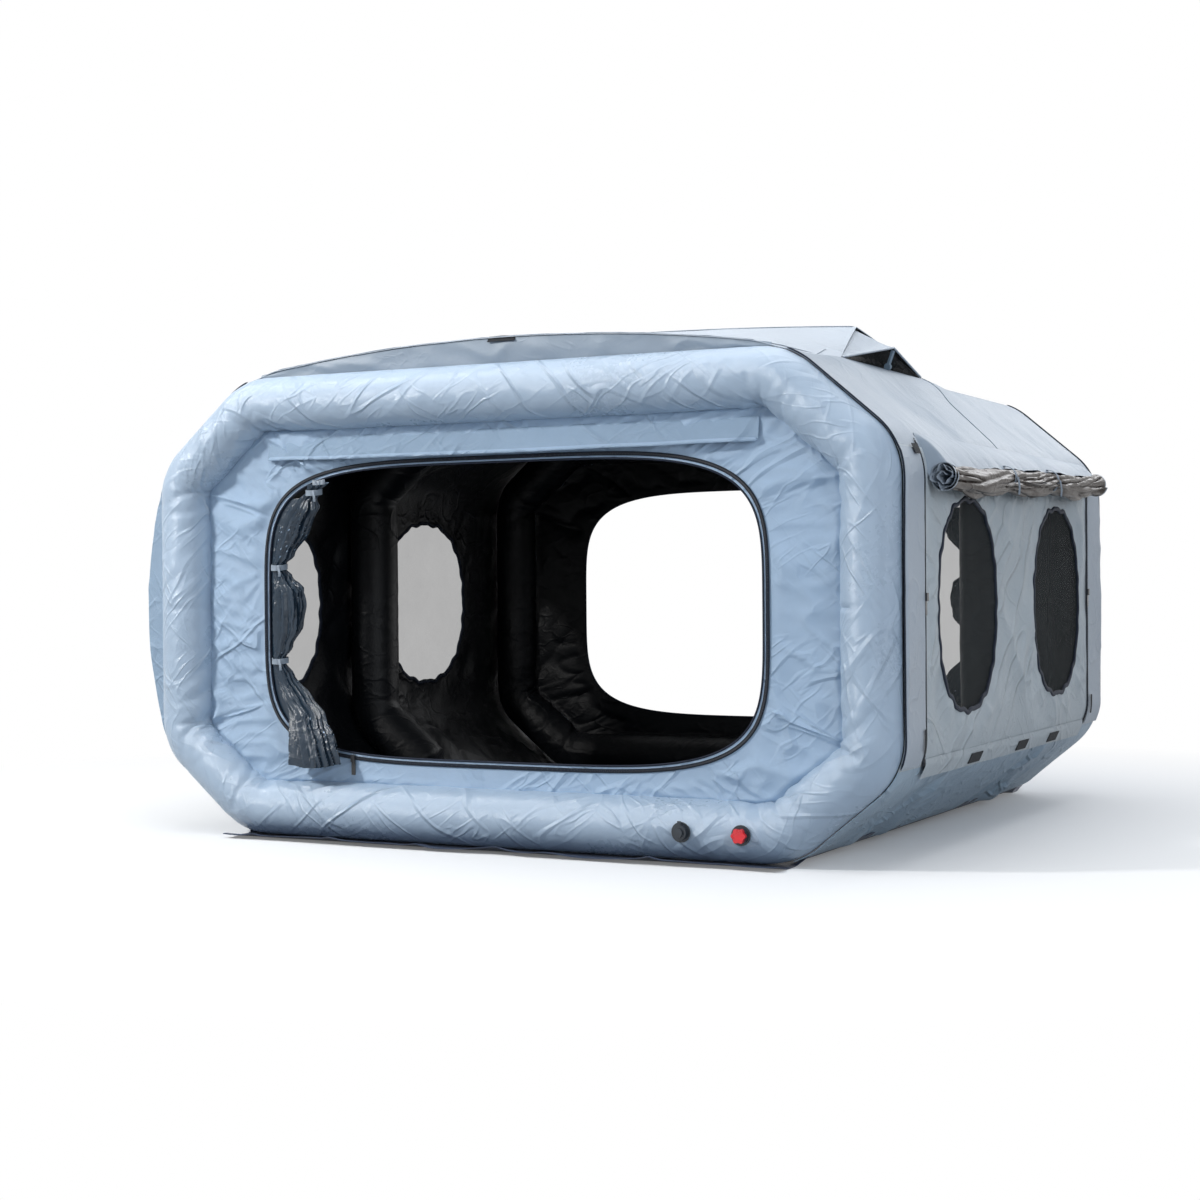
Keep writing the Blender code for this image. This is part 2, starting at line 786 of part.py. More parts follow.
def ridge_share(y, half_length):
    """How far up the ridge's slope a place lies, from 0 at its foot to 1 on the ridge."""
    return max(0.0, 1 - abs(y - RIDGE_Y) / half_length)


def roof_edge_x(y):
    """How far out the roof reaches at a place along the tent."""
    corner = offset_corners(SKIN_OFFSET)[3]
    edge = corner.x - FACE_GAP
    return edge - RIDGE_END_INSET * ridge_share(y, RIDGE_HALF_LENGTH)


def roof_under_z(x, y):
    """Height of the roof's underside."""
    out = min(1.0, abs(x) / roof_edge_x(RING_Y))
    to_rear = (y + RING_Y) / RING_SPACING
    crown = ROOF_CROWN * (1 - out**2) * (1 - to_rear)
    ridge = RIDGE_MIDDLE_RISE + (RIDGE_END_RISE - RIDGE_MIDDLE_RISE) * out**2
    far = RIDGE_Y + RING_Y if y < RIDGE_Y else RING_Y - RIDGE_Y
    half_length = far + (RIDGE_HALF_LENGTH - far) * out
    lift = (ridge - crown) * ridge_share(y, half_length)
    return RING_TOP_Z + SEWN_GAP + crown + lift


def roof():
    """The fly roof, a thin sheet over the rings, and the gable under its arched front edge."""
    ridge_rows = [RIDGE_Y + RIDGE_HALF_LENGTH * step for step in (-1, -0.5, 0, 0.5, 1)]
    rows = sorted(ridge_rows + [RING_Y * share for share in ROOF_ROWS_SHARES])
    under = []
    for y in rows:
        for column in range(ROOF_COLUMNS + 1):
            x = roof_edge_x(y) * (2 * column / ROOF_COLUMNS - 1)
            under.append(Vector((x, y, roof_under_z(x, y))))
    top = [point + UP * SHEET_WALL for point in under]
    across = ROOF_COLUMNS + 1
    up = len(under)
    faces = []
    for start in range(0, up - across, across):
        for column in range(ROOF_COLUMNS):
            near, side = start + column, start + column + 1
            far, corner = near + across, side + across
            halves = [(near, side, corner), (near, corner, far)]
            if column >= ROOF_COLUMNS / 2:
                halves = [(near, side, far), (side, corner, far)]
            for half in halves:
                faces.append(tuple(point + up for point in half))
                faces.append(half[::-1])
    rim = list(range(across)) + list(range(2 * across - 1, up, across))
    rim += list(range(up - 2, up - across - 1, -1))
    rim += list(range(up - 2 * across, 0, -across))
    for here, there in zip(rim, rim[1:] + rim[:1]):
        faces.append((here, there, there + up, here + up))
    verts = under + top
    solid("roof_cover", [(verts, faces)], Matrix(), FINISHES["cover_cloth"], smooth=True)


def front_gable():
    """The cloth between the front top tube and the roof's arched edge."""
    base = RING_TOP_Z + SEWN_GAP
    edge = roof_edge_x(-RING_Y) * math.sqrt(1 - GABLE_END_RISE / ROOF_CROWN)
    arc = []
    for index in range(GABLE_POINTS):
        x = edge * (1 - 2 * index / (GABLE_POINTS - 1))
        arc.append((x, roof_under_z(x, -RING_Y) - 2 * FACE_GAP))
    outline = [(-edge, base), (edge, base), *arc]
    lift = Matrix.Translation((0, 0, -PANEL_WALL / 2 - FACE_GAP))
    plate("front_gable", outline, PANEL_WALL, PLANES["front"] @ lift, FINISHES["cover_cloth"])


def vent(title):
    """The vent under one end of the ridge: visor, insect mesh and folding strut."""
    sign = 1 if title == "right" else -1
    corner = offset_corners(SKIN_OFFSET)[3]
    foot = Vector((sign * (corner.x + FACE_GAP), 0, roof_foot_z() + SHEET_WALL))
    peak_x = roof_edge_x(RIDGE_Y) + SEWN_GAP
    peak_z = roof_under_z(peak_x, RIDGE_Y) + SHEET_WALL
    tip_x = corner.x + VISOR_REACH
    tip_z = foot.z + VISOR_TIP_RISE
    near = foot + ALONG * (RIDGE_Y - RIDGE_HALF_LENGTH)
    far = foot + ALONG * (RIDGE_Y + RIDGE_HALF_LENGTH)
    peak = Vector((sign * peak_x, RIDGE_Y, peak_z))
    tip = Vector((sign * tip_x, RIDGE_Y, tip_z))
    top = [near, peak, far, tip]
    under = [point - UP * VISOR_WALL for point in top]
    verts = top + under
    faces = [(0, 1, 3), (1, 2, 3), (4, 7, 5), (5, 7, 6)]
    faces += [(0, 4, 5, 1), (1, 5, 6, 2), (2, 6, 7, 3), (3, 7, 4, 0)]
    if signed_volume(verts, faces) < 0:
        faces = [tuple(reversed(face)) for face in faces]
    solid(f"{title}_vent_visor", [(verts, faces)], Matrix(), FINISHES["cover_cloth"])
    vent_mesh(title, sign, corner, tip_x, tip_z, peak_x, peak_z)
    vent_strut(title, sign)


def roof_foot_z():
    """Height of the roof's underside along its side edges."""
    return RING_TOP_Z + SEWN_GAP


def vent_mesh(title, sign, corner, tip_x, tip_z, peak_x, peak_z):
    """The insect mesh that stands on the roof slope's top edge, under the visor."""
    mesh_x = corner.x - MESH_WALL / 2 - FACE_GAP
    slope = (peak_z - tip_z) / (tip_x - peak_x)
    apex_z = tip_z + (tip_x - mesh_x) * slope - VISOR_WALL - VENT_MESH_TIP_GAP
    half = RIDGE_HALF_LENGTH - VENT_MESH_INSET
    base = roof_foot_z() + FACE_GAP
    outline = [
        (RIDGE_Y - half, base),
        (RIDGE_Y + half, base),
        (RIDGE_Y, apex_z),
    ]
    placed = frame(ACROSS * sign * mesh_x, ALONG, UP)
    plate(f"{title}_vent_mesh", outline, MESH_WALL, placed, FINISHES["window_mesh"])


def strut_pivot():
    """Where a vent strut turns, out from the middle and above the ground."""
    outer = offset_corners(SKIN_OFFSET + SHEET_WALL)[3]
    corners = ring_corners()
    normal = mitres([corners[2], corners[3]], False)[0]
    along = Vector((normal.y, -normal.x))
    seat = outer + along * STRUT_PIVOT_OUT
    return seat + normal * (STRUT_FOOT_RADIUS + FACE_GAP)


def vent_strut(title, sign):
    """The strut that props a visor's tip: a round foot on the roof slope and a flat bar."""
    pivot = strut_pivot()
    half_angle = math.asin(STRUT_HALF_WALL / STRUT_FOOT_RADIUS)
    outline = [(STRUT_HALF_WALL, STRUT_LENGTH), (-STRUT_HALF_WALL, STRUT_LENGTH)]
    start = math.pi / 2 + half_angle
    sweep = 2 * math.pi - 2 * half_angle
    for index in range(STRUT_FOOT_POINTS + 1):
        angle = start + sweep * index / STRUT_FOOT_POINTS
        outline.append((STRUT_FOOT_RADIUS * math.cos(angle), STRUT_FOOT_RADIUS * math.sin(angle)))
    placed = frame(Vector((sign * pivot.x, RIDGE_Y, pivot.y)), ACROSS, UP)
    lean = Matrix.Rotation(-sign * math.radians(STRUT_LEAN_DEGREES), 4, "Z")
    plate(
        f"{title}_vent_strut",
        outline,
        2 * STRUT_HALF_WIDTH,
        placed @ lean,
        FINISHES["strut_grey"],
    )


def valve_frame(x):
    """Working plane of a valve: on the tube's front flat, facing forwards."""
    return frame(Vector((x, -RING_Y - TUBE_RADIUS, BOTTOM_LINE_Z)), ACROSS, UP)


def valve_body(name, x):
    """A valve's flange and seat on the sleeve, and its stem through to the bladder."""
    profile = [
        (VALVE_STEM_RADIUS, -VALVE_STEM_DEPTH),
        (VALVE_STEM_RADIUS, FACE_GAP),
        (VALVE_FLANGE_RADIUS, FACE_GAP),
        (VALVE_FLANGE_RADIUS, FACE_GAP + VALVE_FLANGE_HEIGHT),
        (VALVE_SEAT_RADIUS, FACE_GAP + VALVE_FLANGE_HEIGHT),
        (VALVE_SEAT_RADIUS, VALVE_SEAT_HEIGHT),
    ]
    lathe(name, profile, valve_frame(x), FINISHES["valve_black"])


def valve_ports():
    """Holes for both valves' stems in the front ring's bottom tube."""
    hole = VALVE_STEM_RADIUS + SEWN_GAP
    holes = []
    for x in (INFLATION_VALVE_X, DEFLATION_VALVE_X):
        port_frame = frame(Vector((x, -RING_Y, BOTTOM_LINE_Z)), ACROSS, UP)
        holes.append((hole, hole, port_frame))
    return holes


def valves():
    """The inflation valve with its hinged cap, and the deflation valve with its star knob."""
    valve_body("inflation_valve_body", INFLATION_VALVE_X)
    valve_body("deflation_valve_body", DEFLATION_VALVE_X)
    back = VALVE_SEAT_HEIGHT + FACE_GAP
    hinge = Matrix.Translation((0, -CAP_RADIUS, back))
    grip_start = CAP_HEIGHT
    profile = [
        (CAP_RADIUS, 0),
        (CAP_RADIUS, CAP_HEIGHT),
        (CAP_GRIP_RADIUS, grip_start),
        (CAP_GRIP_RADIUS, CAP_HEIGHT + CAP_GRIP_HEIGHT),
    ]
    placed = valve_frame(INFLATION_VALVE_X) @ hinge
    loops = [
        [Vector((x, y + CAP_RADIUS, height)) for x, y in circle(radius, VALVE_SIDES)]
        for radius, height in profile
    ]
    cap = solid("inflation_valve_cap", [loft(loops)], placed, FINISHES["valve_black"])
    tab_low = 2 * CAP_RADIUS - CAP_TAB_WALL
    tab_high = 2 * CAP_RADIUS + CAP_TAB_LENGTH
    tab_loops = []
    for height in (CAP_TAB_WALL / 2, 3 * CAP_TAB_WALL / 2):
        tab_loops.append(
            [
                Vector((-CAP_TAB_HALF_WIDTH, tab_low, height)),
                Vector((CAP_TAB_HALF_WIDTH, tab_low, height)),
                Vector((CAP_TAB_HALF_WIDTH, tab_high, height)),
                Vector((-CAP_TAB_HALF_WIDTH, tab_high, height)),
            ]
        )
    tab = solid("cap_tab_shape", [loft(tab_loops)], placed, FINISHES["valve_black"])
    tab.hide_render = True
    tab.display_type = "WIRE"
    join = cap.modifiers.new("tab", "BOOLEAN")
    join.operation = "UNION"
    join.object = tab

    star = []
    for index in range(KNOB_POINTS):
        angle = 2 * math.pi * index / KNOB_POINTS
        reach = KNOB_RADIUS + KNOB_LOBE * math.cos(KNOB_LOBES * angle)
        star.append((reach * math.cos(angle), reach * math.sin(angle)))
    middle = Matrix.Translation((0, 0, back + KNOB_HEIGHT / 2))
    plate(
        "deflation_valve_knob",
        star,
        KNOB_HEIGHT,
        valve_frame(DEFLATION_VALVE_X) @ middle,
        FINISHES["knob_red"],
    )


def ground_sheet():
    """The ground sheet under the rings, with an apron past each end."""
    half_x = offset_corners(TUBE_RADIUS)[0].x
    half_y = RING_Y + TUBE_RADIUS + APRON_DEPTH
    outline = [(-half_x, -half_y), (half_x, -half_y), (half_x, half_y), (-half_x, half_y)]
    placed = Matrix.Translation((0, 0, GROUND_WALL / 2))
    plate("ground_sheet", outline, GROUND_WALL, placed, FINISHES["ground_cloth"])


clear_scene()

FINISHES = {
    "sleeve_cloth": material("sleeve_cloth", (0.36, 0.47, 0.62), 0.45),
    "panel_cloth": material("panel_cloth", (0.33, 0.44, 0.58), 0.50),
    "cover_cloth": material("cover_cloth", (0.46, 0.52, 0.62), 0.55),
    "base_cloth": material("base_cloth", (0.28, 0.32, 0.38), 0.60),
    "ground_cloth": material("ground_cloth", (0.03, 0.05, 0.10), 0.60),
    "lining_cloth": material("lining_cloth", (0.02, 0.02, 0.025), 0.60),
    "bladder_film": material("bladder_film", (0.60, 0.62, 0.64), 0.30),
    "window_mesh": material("window_mesh", (0.03, 0.035, 0.04), 0.80),
    "binding": material("binding", (0.02, 0.03, 0.05), 0.60),
    "zip_tape": material("zip_tape", (0.02, 0.03, 0.05), 0.70),
    "slider_black": material("slider_black", (0.02, 0.02, 0.02), 0.40),
    "webbing": material("webbing", (0.50, 0.56, 0.64), 0.60),
    "rolled_door": material("rolled_door", (0.05, 0.06, 0.09), 0.50),
    "rolled_cover": material("rolled_cover", (0.06, 0.05, 0.04), 0.35),
    "strut_grey": material("strut_grey", (0.25, 0.33, 0.42), 0.50),
    "valve_black": material("valve_black", (0.015, 0.02, 0.025), 0.40),
    "knob_red": material("knob_red", (0.65, 0.02, 0.02), 0.35),
}
PLANES = {
    "front": frame(Vector((0, -RING_Y, 0)), ACROSS, UP),
    "middle": frame(Vector((0, 0, 0)), ACROSS, UP),
    "rear": frame(Vector((0, RING_Y, 0)), -ACROSS, UP),
}

ground_sheet()
end_ring("front", PLANES["front"], valve_ports() + hose_ports(-RING_Y, (1,)))
middle_arch(PLANES["middle"], hose_ports(0, (-1, 1)))
end_ring("rear", PLANES["rear"], hose_ports(RING_Y, (-1,)))
air_hoses()
side("right", 1)
side("left", 5)
roof()
front_gable()
vent("right")
vent("left")
end_panel("front", PLANES["front"])
end_panel("rear", PLANES["rear"])
tied_door("front", PLANES["front"], 3)
tied_door("rear", PLANES["rear"], 2)
door_zip_floor = DOOR_MIDDLE_Z - DOOR_HALF_HEIGHT - DOOR_ZIP_STANDOFF
zip_slider(
    "front_door_slider",
    PLANES["front"],
    -DOOR_SLIDER_X,
    door_zip_floor + DOOR_SLIDER_RISE,
    PANEL_WALL / 2,
)
rain_flap()
valves()
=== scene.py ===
"""Looks of the inflatable cabin tent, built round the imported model.

Metres, +Z up, the front towards -Y, and the origin on the ground under the middle.
"""

import logging
import math
from bisect import bisect_right
from collections.abc import Callable, Sequence
from dataclasses import dataclass
from enum import Enum
from typing import Optional

import bpy
from mathutils import Matrix, Vector, noise


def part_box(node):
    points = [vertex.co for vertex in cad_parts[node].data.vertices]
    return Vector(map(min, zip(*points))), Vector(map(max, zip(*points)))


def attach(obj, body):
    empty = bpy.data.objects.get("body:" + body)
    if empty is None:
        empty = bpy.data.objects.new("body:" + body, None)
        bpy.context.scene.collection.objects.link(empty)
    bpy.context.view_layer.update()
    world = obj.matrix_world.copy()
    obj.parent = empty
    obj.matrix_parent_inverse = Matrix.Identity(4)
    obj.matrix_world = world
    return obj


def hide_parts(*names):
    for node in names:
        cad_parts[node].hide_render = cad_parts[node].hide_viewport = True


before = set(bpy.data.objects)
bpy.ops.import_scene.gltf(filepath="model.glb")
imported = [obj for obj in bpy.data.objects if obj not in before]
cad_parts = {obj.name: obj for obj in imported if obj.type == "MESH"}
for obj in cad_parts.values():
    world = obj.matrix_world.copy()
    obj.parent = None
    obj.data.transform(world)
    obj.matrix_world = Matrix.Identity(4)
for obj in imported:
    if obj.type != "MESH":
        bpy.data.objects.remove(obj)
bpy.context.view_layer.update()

LOG = logging.getLogger("tent")
Place = Callable[[float, float], Vector]
Colour = tuple[float, float, float]

# Sizes that the sub-assemblies share, as in the solids
TUBE_RADIUS = 0.100
RING_Y = 1.215
RING_TOP_Z = 1.6423
BOTTOM_LINE_Z = 0.1033
SKIN_OUT = 0.1045
RIDGE_Y = -0.325
SLOPE_FOLDS = 0.0050
VENT_HALF = 0.410
SKIN_WALL = 0.0030
FULL_TURN = 2 * math.pi
FILM_RADIUS = 0.084

# Faces round a band, how round its section is, and the angles up to which each kind
# of piece is shaded smooth
BAND_SIDES = 8
BAND_ROUNDING = 0.7
CLOTH_ANGLE = math.radians(50)
BAND_ANGLE = math.radians(60)
HARD_ANGLE = math.radians(35)

# Areas of the rounded openings, as shares of the product of their half sizes
WINDOW_AREA = 3.30
DOORWAY_AREA = 3.74

# What an end panel's four slanted corners take off its area, how much longer the
# door's cloth is than the roll, and how far apart the patterns of two seeds are
PANEL_CORNERS = 0.105
DOOR_GATHER = 1.06
SEED_STEP = 7.31

RINGS = ["front_sleeve", "rear_sleeve"]
UP = Vector((0, 0, 1))
AHEAD = Vector((0, -1, 0))
MIDDLE = Vector((0, 0, 0.8))


class End(Enum):
    """One of the tent's two ends, with the side of the middle that it lies on."""

    FRONT = -1
    REAR = 1

    @property
    def title(self) -> str:
        """The word that its pieces' names start with."""
        return self.name.lower()


class Side(Enum):
    """One of the tent's two sides, with the sign of X there."""

    LEFT = -1
    RIGHT = 1

    @property
    def title(self) -> str:
        """The word that its pieces' names start with."""
        return self.name.lower()


def rumple(along: float, across: float, seed: float) -> float:
    """Smooth unevenness from -1 to 1; both places are in waves."""
    return noise.noise(Vector((along, across, seed * SEED_STEP)))


def crease(along: float, across: float, seed: float) -> float:
    """Sharp folds: 1 on a fold's crest, falling to 0 between folds."""
    return (1 - min(1.0, 2.4 * abs(rumple(along, across, seed)))) ** 2


def arch(share: float) -> float:
    """A smooth curve that is 0 at shares 0 and 1, and 1 halfway."""
    return math.sin(math.pi * share)


def signed(value: float, power: float) -> float:
    """A value's power, with the value's own sign."""
    return math.copysign(abs(value) ** power, value)


def ray(angle: float) -> Vector:
    """The flat vector of length 1 at an angle."""
    return Vector((math.cos(angle), math.sin(angle)))


def fade(value: float, start: float, end: float) -> float:
    """0 before the start, 1 past the end, and a smooth step between them."""
    share = min(1.0, max(0.0, (value - start) / (end - start)))
    return share * share * (3 - 2 * share)


def spread(table: Sequence[tuple[float, ...]], at: float) -> list[float]:
    """Read a table of stations between its rows, on a smooth curve.

    Args:
        table: Rows that start with their place, in order.
        at: The place.

    Returns:
        The rest of the row there.
    """
    for low, high in zip(table, table[1:]):
        if at <= high[0]:
            share = fade(at, low[0], high[0])
            return [a + (b - a) * share for a, b in zip(low[1:], high[1:])]
    return list(table[-1][1:])


class Wire:
    """A material's socket or number, on which Python's operators add Math nodes."""

    def __init__(self, paint: "Paint", socket: bpy.types.NodeSocket) -> None:
        """Keep the material and its socket."""
        self.paint = paint
        self.socket = socket

    def maths(self, operation: str, first: object, second: object = 0.0) -> "Wire":
        """Add one Math node, with its operation and both of its values or links."""
        made = self.paint.node("ShaderNodeMath", {"operation": operation}, {0: first, 1: second})
        return Wire(self.paint, made.outputs[0])

    def __add__(self, other: object) -> "Wire":
        """Sum."""
        return self.maths("ADD", self, other)

    def __radd__(self, other: object) -> "Wire":
        """Sum with a number before it."""
        return self.maths("ADD", other, self)

    def __sub__(self, other: object) -> "Wire":
        """Difference."""
        return self.maths("SUBTRACT", self, other)

    def __rsub__(self, other: object) -> "Wire":
        """Difference from a number."""
        return self.maths("SUBTRACT", other, self)

    def __mul__(self, other: object) -> "Wire":
        """Product."""
        return self.maths("MULTIPLY", self, other)

    def __rmul__(self, other: object) -> "Wire":
        """Product with a number before it."""
        return self.maths("MULTIPLY", other, self)

    def size(self) -> "Wire":
        """Its value without its sign."""
        return self.maths("ABSOLUTE", self)

    def sine(self) -> "Wire":
        """The sine."""
        return self.maths("SINE", self)


class Paint:
    """A material with a Principled shader, and the nodes that feed it."""

    def __init__(self, name: str) -> None:
        """Make the material and find its shader.

        Args:
            name: The material's name.
        """
        self.material = bpy.data.materials.new(name)
        self.material.use_nodes = True
        self.tree = self.material.node_tree
        self.shader = self.tree.nodes["Principled BSDF"]

    def node(
        self, kind: str, settings: dict[str, object], values: dict[object, object]
    ) -> bpy.types.Node:
        """Add a node.

        Args:
            kind: The node's type.
            settings: Its settings, which are set first.
            values: What goes into its sockets: values, sockets or wires.

        Returns:
            The node.
        """
        made = self.tree.nodes.new(kind)
        for name, value in settings.items():
            if name == "stops":
                for stop, (place, colour) in zip(made.color_ramp.elements, value):
                    stop.position = place
                    stop.color = colour
            else:
                setattr(made, name, value)
        for name, value in values.items():
            self.feed(made.inputs[name], value)
        return made

    def feed(self, socket: bpy.types.NodeSocket, value: object) -> None:
        """Give a socket a value or a link.

        Args:
            socket: The socket.
            value: A number, a colour, a vector, a socket or a wire.
        """
        if isinstance(value, Wire):
            value = value.socket
        if isinstance(value, bpy.types.NodeSocket):
            self.tree.links.new(value, socket)
        elif socket.type == "RGBA":
            socket.default_value = (*value, 1)
        else:
            socket.default_value = value

    def plain(self, **values: object) -> None:
        """Set the shader's own sockets; an underline in a name stands for a space."""
        for name, value in values.items():
            self.feed(self.shader.inputs[name.replace("_", " ")], value)

    def place(self, uses_uv: bool) -> object:
        """Where on the piece: its cloth's metres if it uses them, or its own."""
        source = self.node("ShaderNodeTexCoord", {}, {})
        return source.outputs["UV" if uses_uv else "Object"]

    def clouds(self, place: object, scale: float, detail: float = 3.0) -> Wire:
        """Noise from 0 to 1, with its waves in a metre and its octaves."""
        values = {"Vector": place, "Scale": scale, "Detail": detail}
        return Wire(self, self.node("ShaderNodeTexNoise", {}, values).outputs[0])

    def slanted(self, uses_uv: bool, facing: int, angle: float, longer: float) -> object:
        """Where on the piece, turned in the cloth's plane and drawn out along that slant.

        Args:
            uses_uv: Whether the pattern follows the cloth's UV map.
            facing: The axis that the cloth faces.
            angle: How far it is turned.
            longer: How much it is drawn out.

        Returns:
            The vector's socket.
        """
        turn = [0.0, 0.0, 0.0]
        turn[facing] = angle
        scale = (1.0, longer, 1.0) if facing == 0 else (longer, 1.0, 1.0)
        values = {"Vector": self.place(uses_uv), "Rotation": tuple(turn), "Scale": scale}
        return self.node("ShaderNodeMapping", {"vector_type": "TEXTURE"}, values).outputs[0]

    def crisp(self, place: object, scale: float, width: float) -> Wire:
        """Thin crisp creases that come and go, as a height from 0 to 1."""
        line = self.ramp((self.clouds(place, scale, 1.0) - 0.5).size(), width, 0.0)
        return line * self.ramp(self.clouds(place, scale * 0.45, 1.0), 0.46, 0.64)

    def split(self, place: object) -> tuple[Wire, Wire, Wire]:
        """The three parts of a vector."""
        made = self.node("ShaderNodeSeparateXYZ", {}, {0: place})
        return tuple(Wire(self, output) for output in made.outputs)

    def between(self, share: Wire, first: object, second: object) -> object:
        """Mix two colours or links, by the share of the second."""
        values = {0: share, 6: first, 7: second}
        return self.node("ShaderNodeMix", {"data_type": "RGBA"}, values).outputs[2]

    def ramp(self, value: Wire, low: float, high: float) -> Wire:
        """A value's share between two limits, in either order."""
        values = {0: value, 1: low, 2: high, 3: 0.0, 4: 1.0}
        return Wire(self, self.node("ShaderNodeMapRange", {}, values).outputs[0])

    def relief(self, height: Wire, strength: float, distance: float) -> None:
        """Bump from a height from 0 to 1, where 1 is the distance in metres."""
        values = {"Height": height, "Strength": strength, "Distance": distance}
        self.plain(Normal=self.node("ShaderNodeBump", {}, values).outputs[0])


def tint(colour: Colour, share: float) -> Colour:
    """A colour made lighter or darker."""
    return tuple(min(1.0, part * share) for part in colour)


@dataclass(frozen=True)
class CoatedCloth:
    """Woven cloth with a coating: clouds of tone, fine creases and a weave."""

    name: str
    colour: Colour
    roughness: float = 0.48
    uses_uv: bool = False  # whether the pattern follows the cloth
    creases: float = 0.006  # how deep the fine creases are, in metres
    sheen: float = 0.05
    weave: float = 0.0024  # pitch of the weave, in metres
    facing: int = 2  # the axis that the cloth faces
    shine: float = 0.40  # how strong its reflection is

    def make(self) -> bpy.types.Material:
        """Build the material.

        Returns:
            The material.
        """
        paint = Paint(self.name)
        place = paint.place(self.uses_uv)
        clouds = paint.clouds(place, 2.3, 4.0)
        specks = paint.clouds(place, 55.0, 2.0)
        tone = paint.ramp(clouds * 0.8 + specks * 0.2, 0.3, 0.7)
        light, dark = tint(self.colour, 1.06), tint(self.colour, 0.94)
        paint.plain(
            Base_Color=paint.between(tone, dark, light),
            Roughness=self.roughness - 0.06 + tone * 0.12,
            Sheen_Weight=self.sheen,
            Sheen_Roughness=0.4,
            Specular_IOR_Level=self.shine,
        )
        across, along, up = paint.split(place)
        pitch = FULL_TURN / self.weave
        weft = (along if self.uses_uv else up + along) * pitch
        weave = (across * pitch).sine() * weft.sine()
        rising = paint.slanted(self.uses_uv, self.facing, 0.75, 3.4)
        falling = paint.slanted(self.uses_uv, self.facing, -0.60, 3.4)
        long = paint.crisp(rising, 7.0, 0.042) + paint.crisp(falling, 7.5, 0.042)
        short = paint.crisp(rising, 17.0, 0.062) + paint.crisp(falling, 19.0, 0.062)
        slow = paint.clouds(rising, 3.0, 2.0) + paint.clouds(falling, 4.0, 2.0)
        height = slow * 0.50 + long * 0.32 + short * 0.14 + weave * 0.012
        paint.relief(height, 1.0, self.creases)
        return paint.material


@dataclass(frozen=True)
class NetCloth:
    """Fine insect mesh, which lets light through."""

    name: str
    colour: Colour = (0.028, 0.033, 0.035)
    cover: float = 0.54  # how much of it is yarn
    pitch: float = 0.0036  # from one yarn to the next, in metres

    def make(self) -> bpy.types.Material:
        """Build the material.

        Returns:
            The material.
        """
        paint = Paint(self.name)
        place = paint.place(False)
        across, along, up = paint.split(place)
        pitch = FULL_TURN / self.pitch
        yarns = ((across + along) * pitch).sine() * (up * pitch).sine()
        clouds = paint.clouds(place, 6.0)
        tone = paint.between(clouds, tint(self.colour, 0.7), tint(self.colour, 1.4))
        paint.plain(Base_Color=tone, Roughness=0.75, Specular_IOR_Level=0.2)
        paint.plain(Alpha=self.cover + yarns * 0.07 + clouds * 0.06)
        return paint.material


@dataclass(frozen=True)
class Ribbing:
    """Woven tape or webbing: ribs along it and worn tone."""

    name: str
    colour: Colour
    pitch: float = 0.0016  # from one rib to the next, in metres
    roughness: float = 0.7

    def make(self) -> bpy.types.Material:
        """Build the material.

        Returns:
            The material.
        """
        paint = Paint(self.name)
        place = paint.place(False)
        across, along, up = paint.split(place)
        pitch = FULL_TURN / self.pitch
        ribs = ((across + along + up) * pitch).sine()
        clouds = paint.clouds(place, 34.0)
        tone = paint.between(clouds, tint(self.colour, 0.75), tint(self.colour, 1.25))
        paint.plain(Base_Color=tone, Roughness=self.roughness + clouds * 0.1)
        paint.plain(Specular_IOR_Level=0.22)
        paint.relief(ribs * 0.3 + clouds * 0.5, 0.5, 0.0012)
        return paint.material


@dataclass(frozen=True)
class Moulding:
    """Moulded plastic or painted metal: fine grain and rubbed patches."""

    name: str
    colour: Colour
    roughness: float = 0.42
    coat: float = 0.1

    def make(self) -> bpy.types.Material:
        """Build the material.

        Returns:
            The material.
        """
        paint = Paint(self.name)
        place = paint.place(False)
        grain = paint.clouds(place, 900.0, 2.0)
        rubbed = paint.ramp(paint.clouds(place, 38.0, 4.0), 0.35, 0.75)
        paint.plain(
            Base_Color=paint.between(rubbed, self.colour, tint(self.colour, 1.35)),
            Roughness=self.roughness + rubbed * 0.16,
            Coat_Weight=self.coat,
        )
        paint.relief(grain, 0.2, 0.0004)
        return paint.material


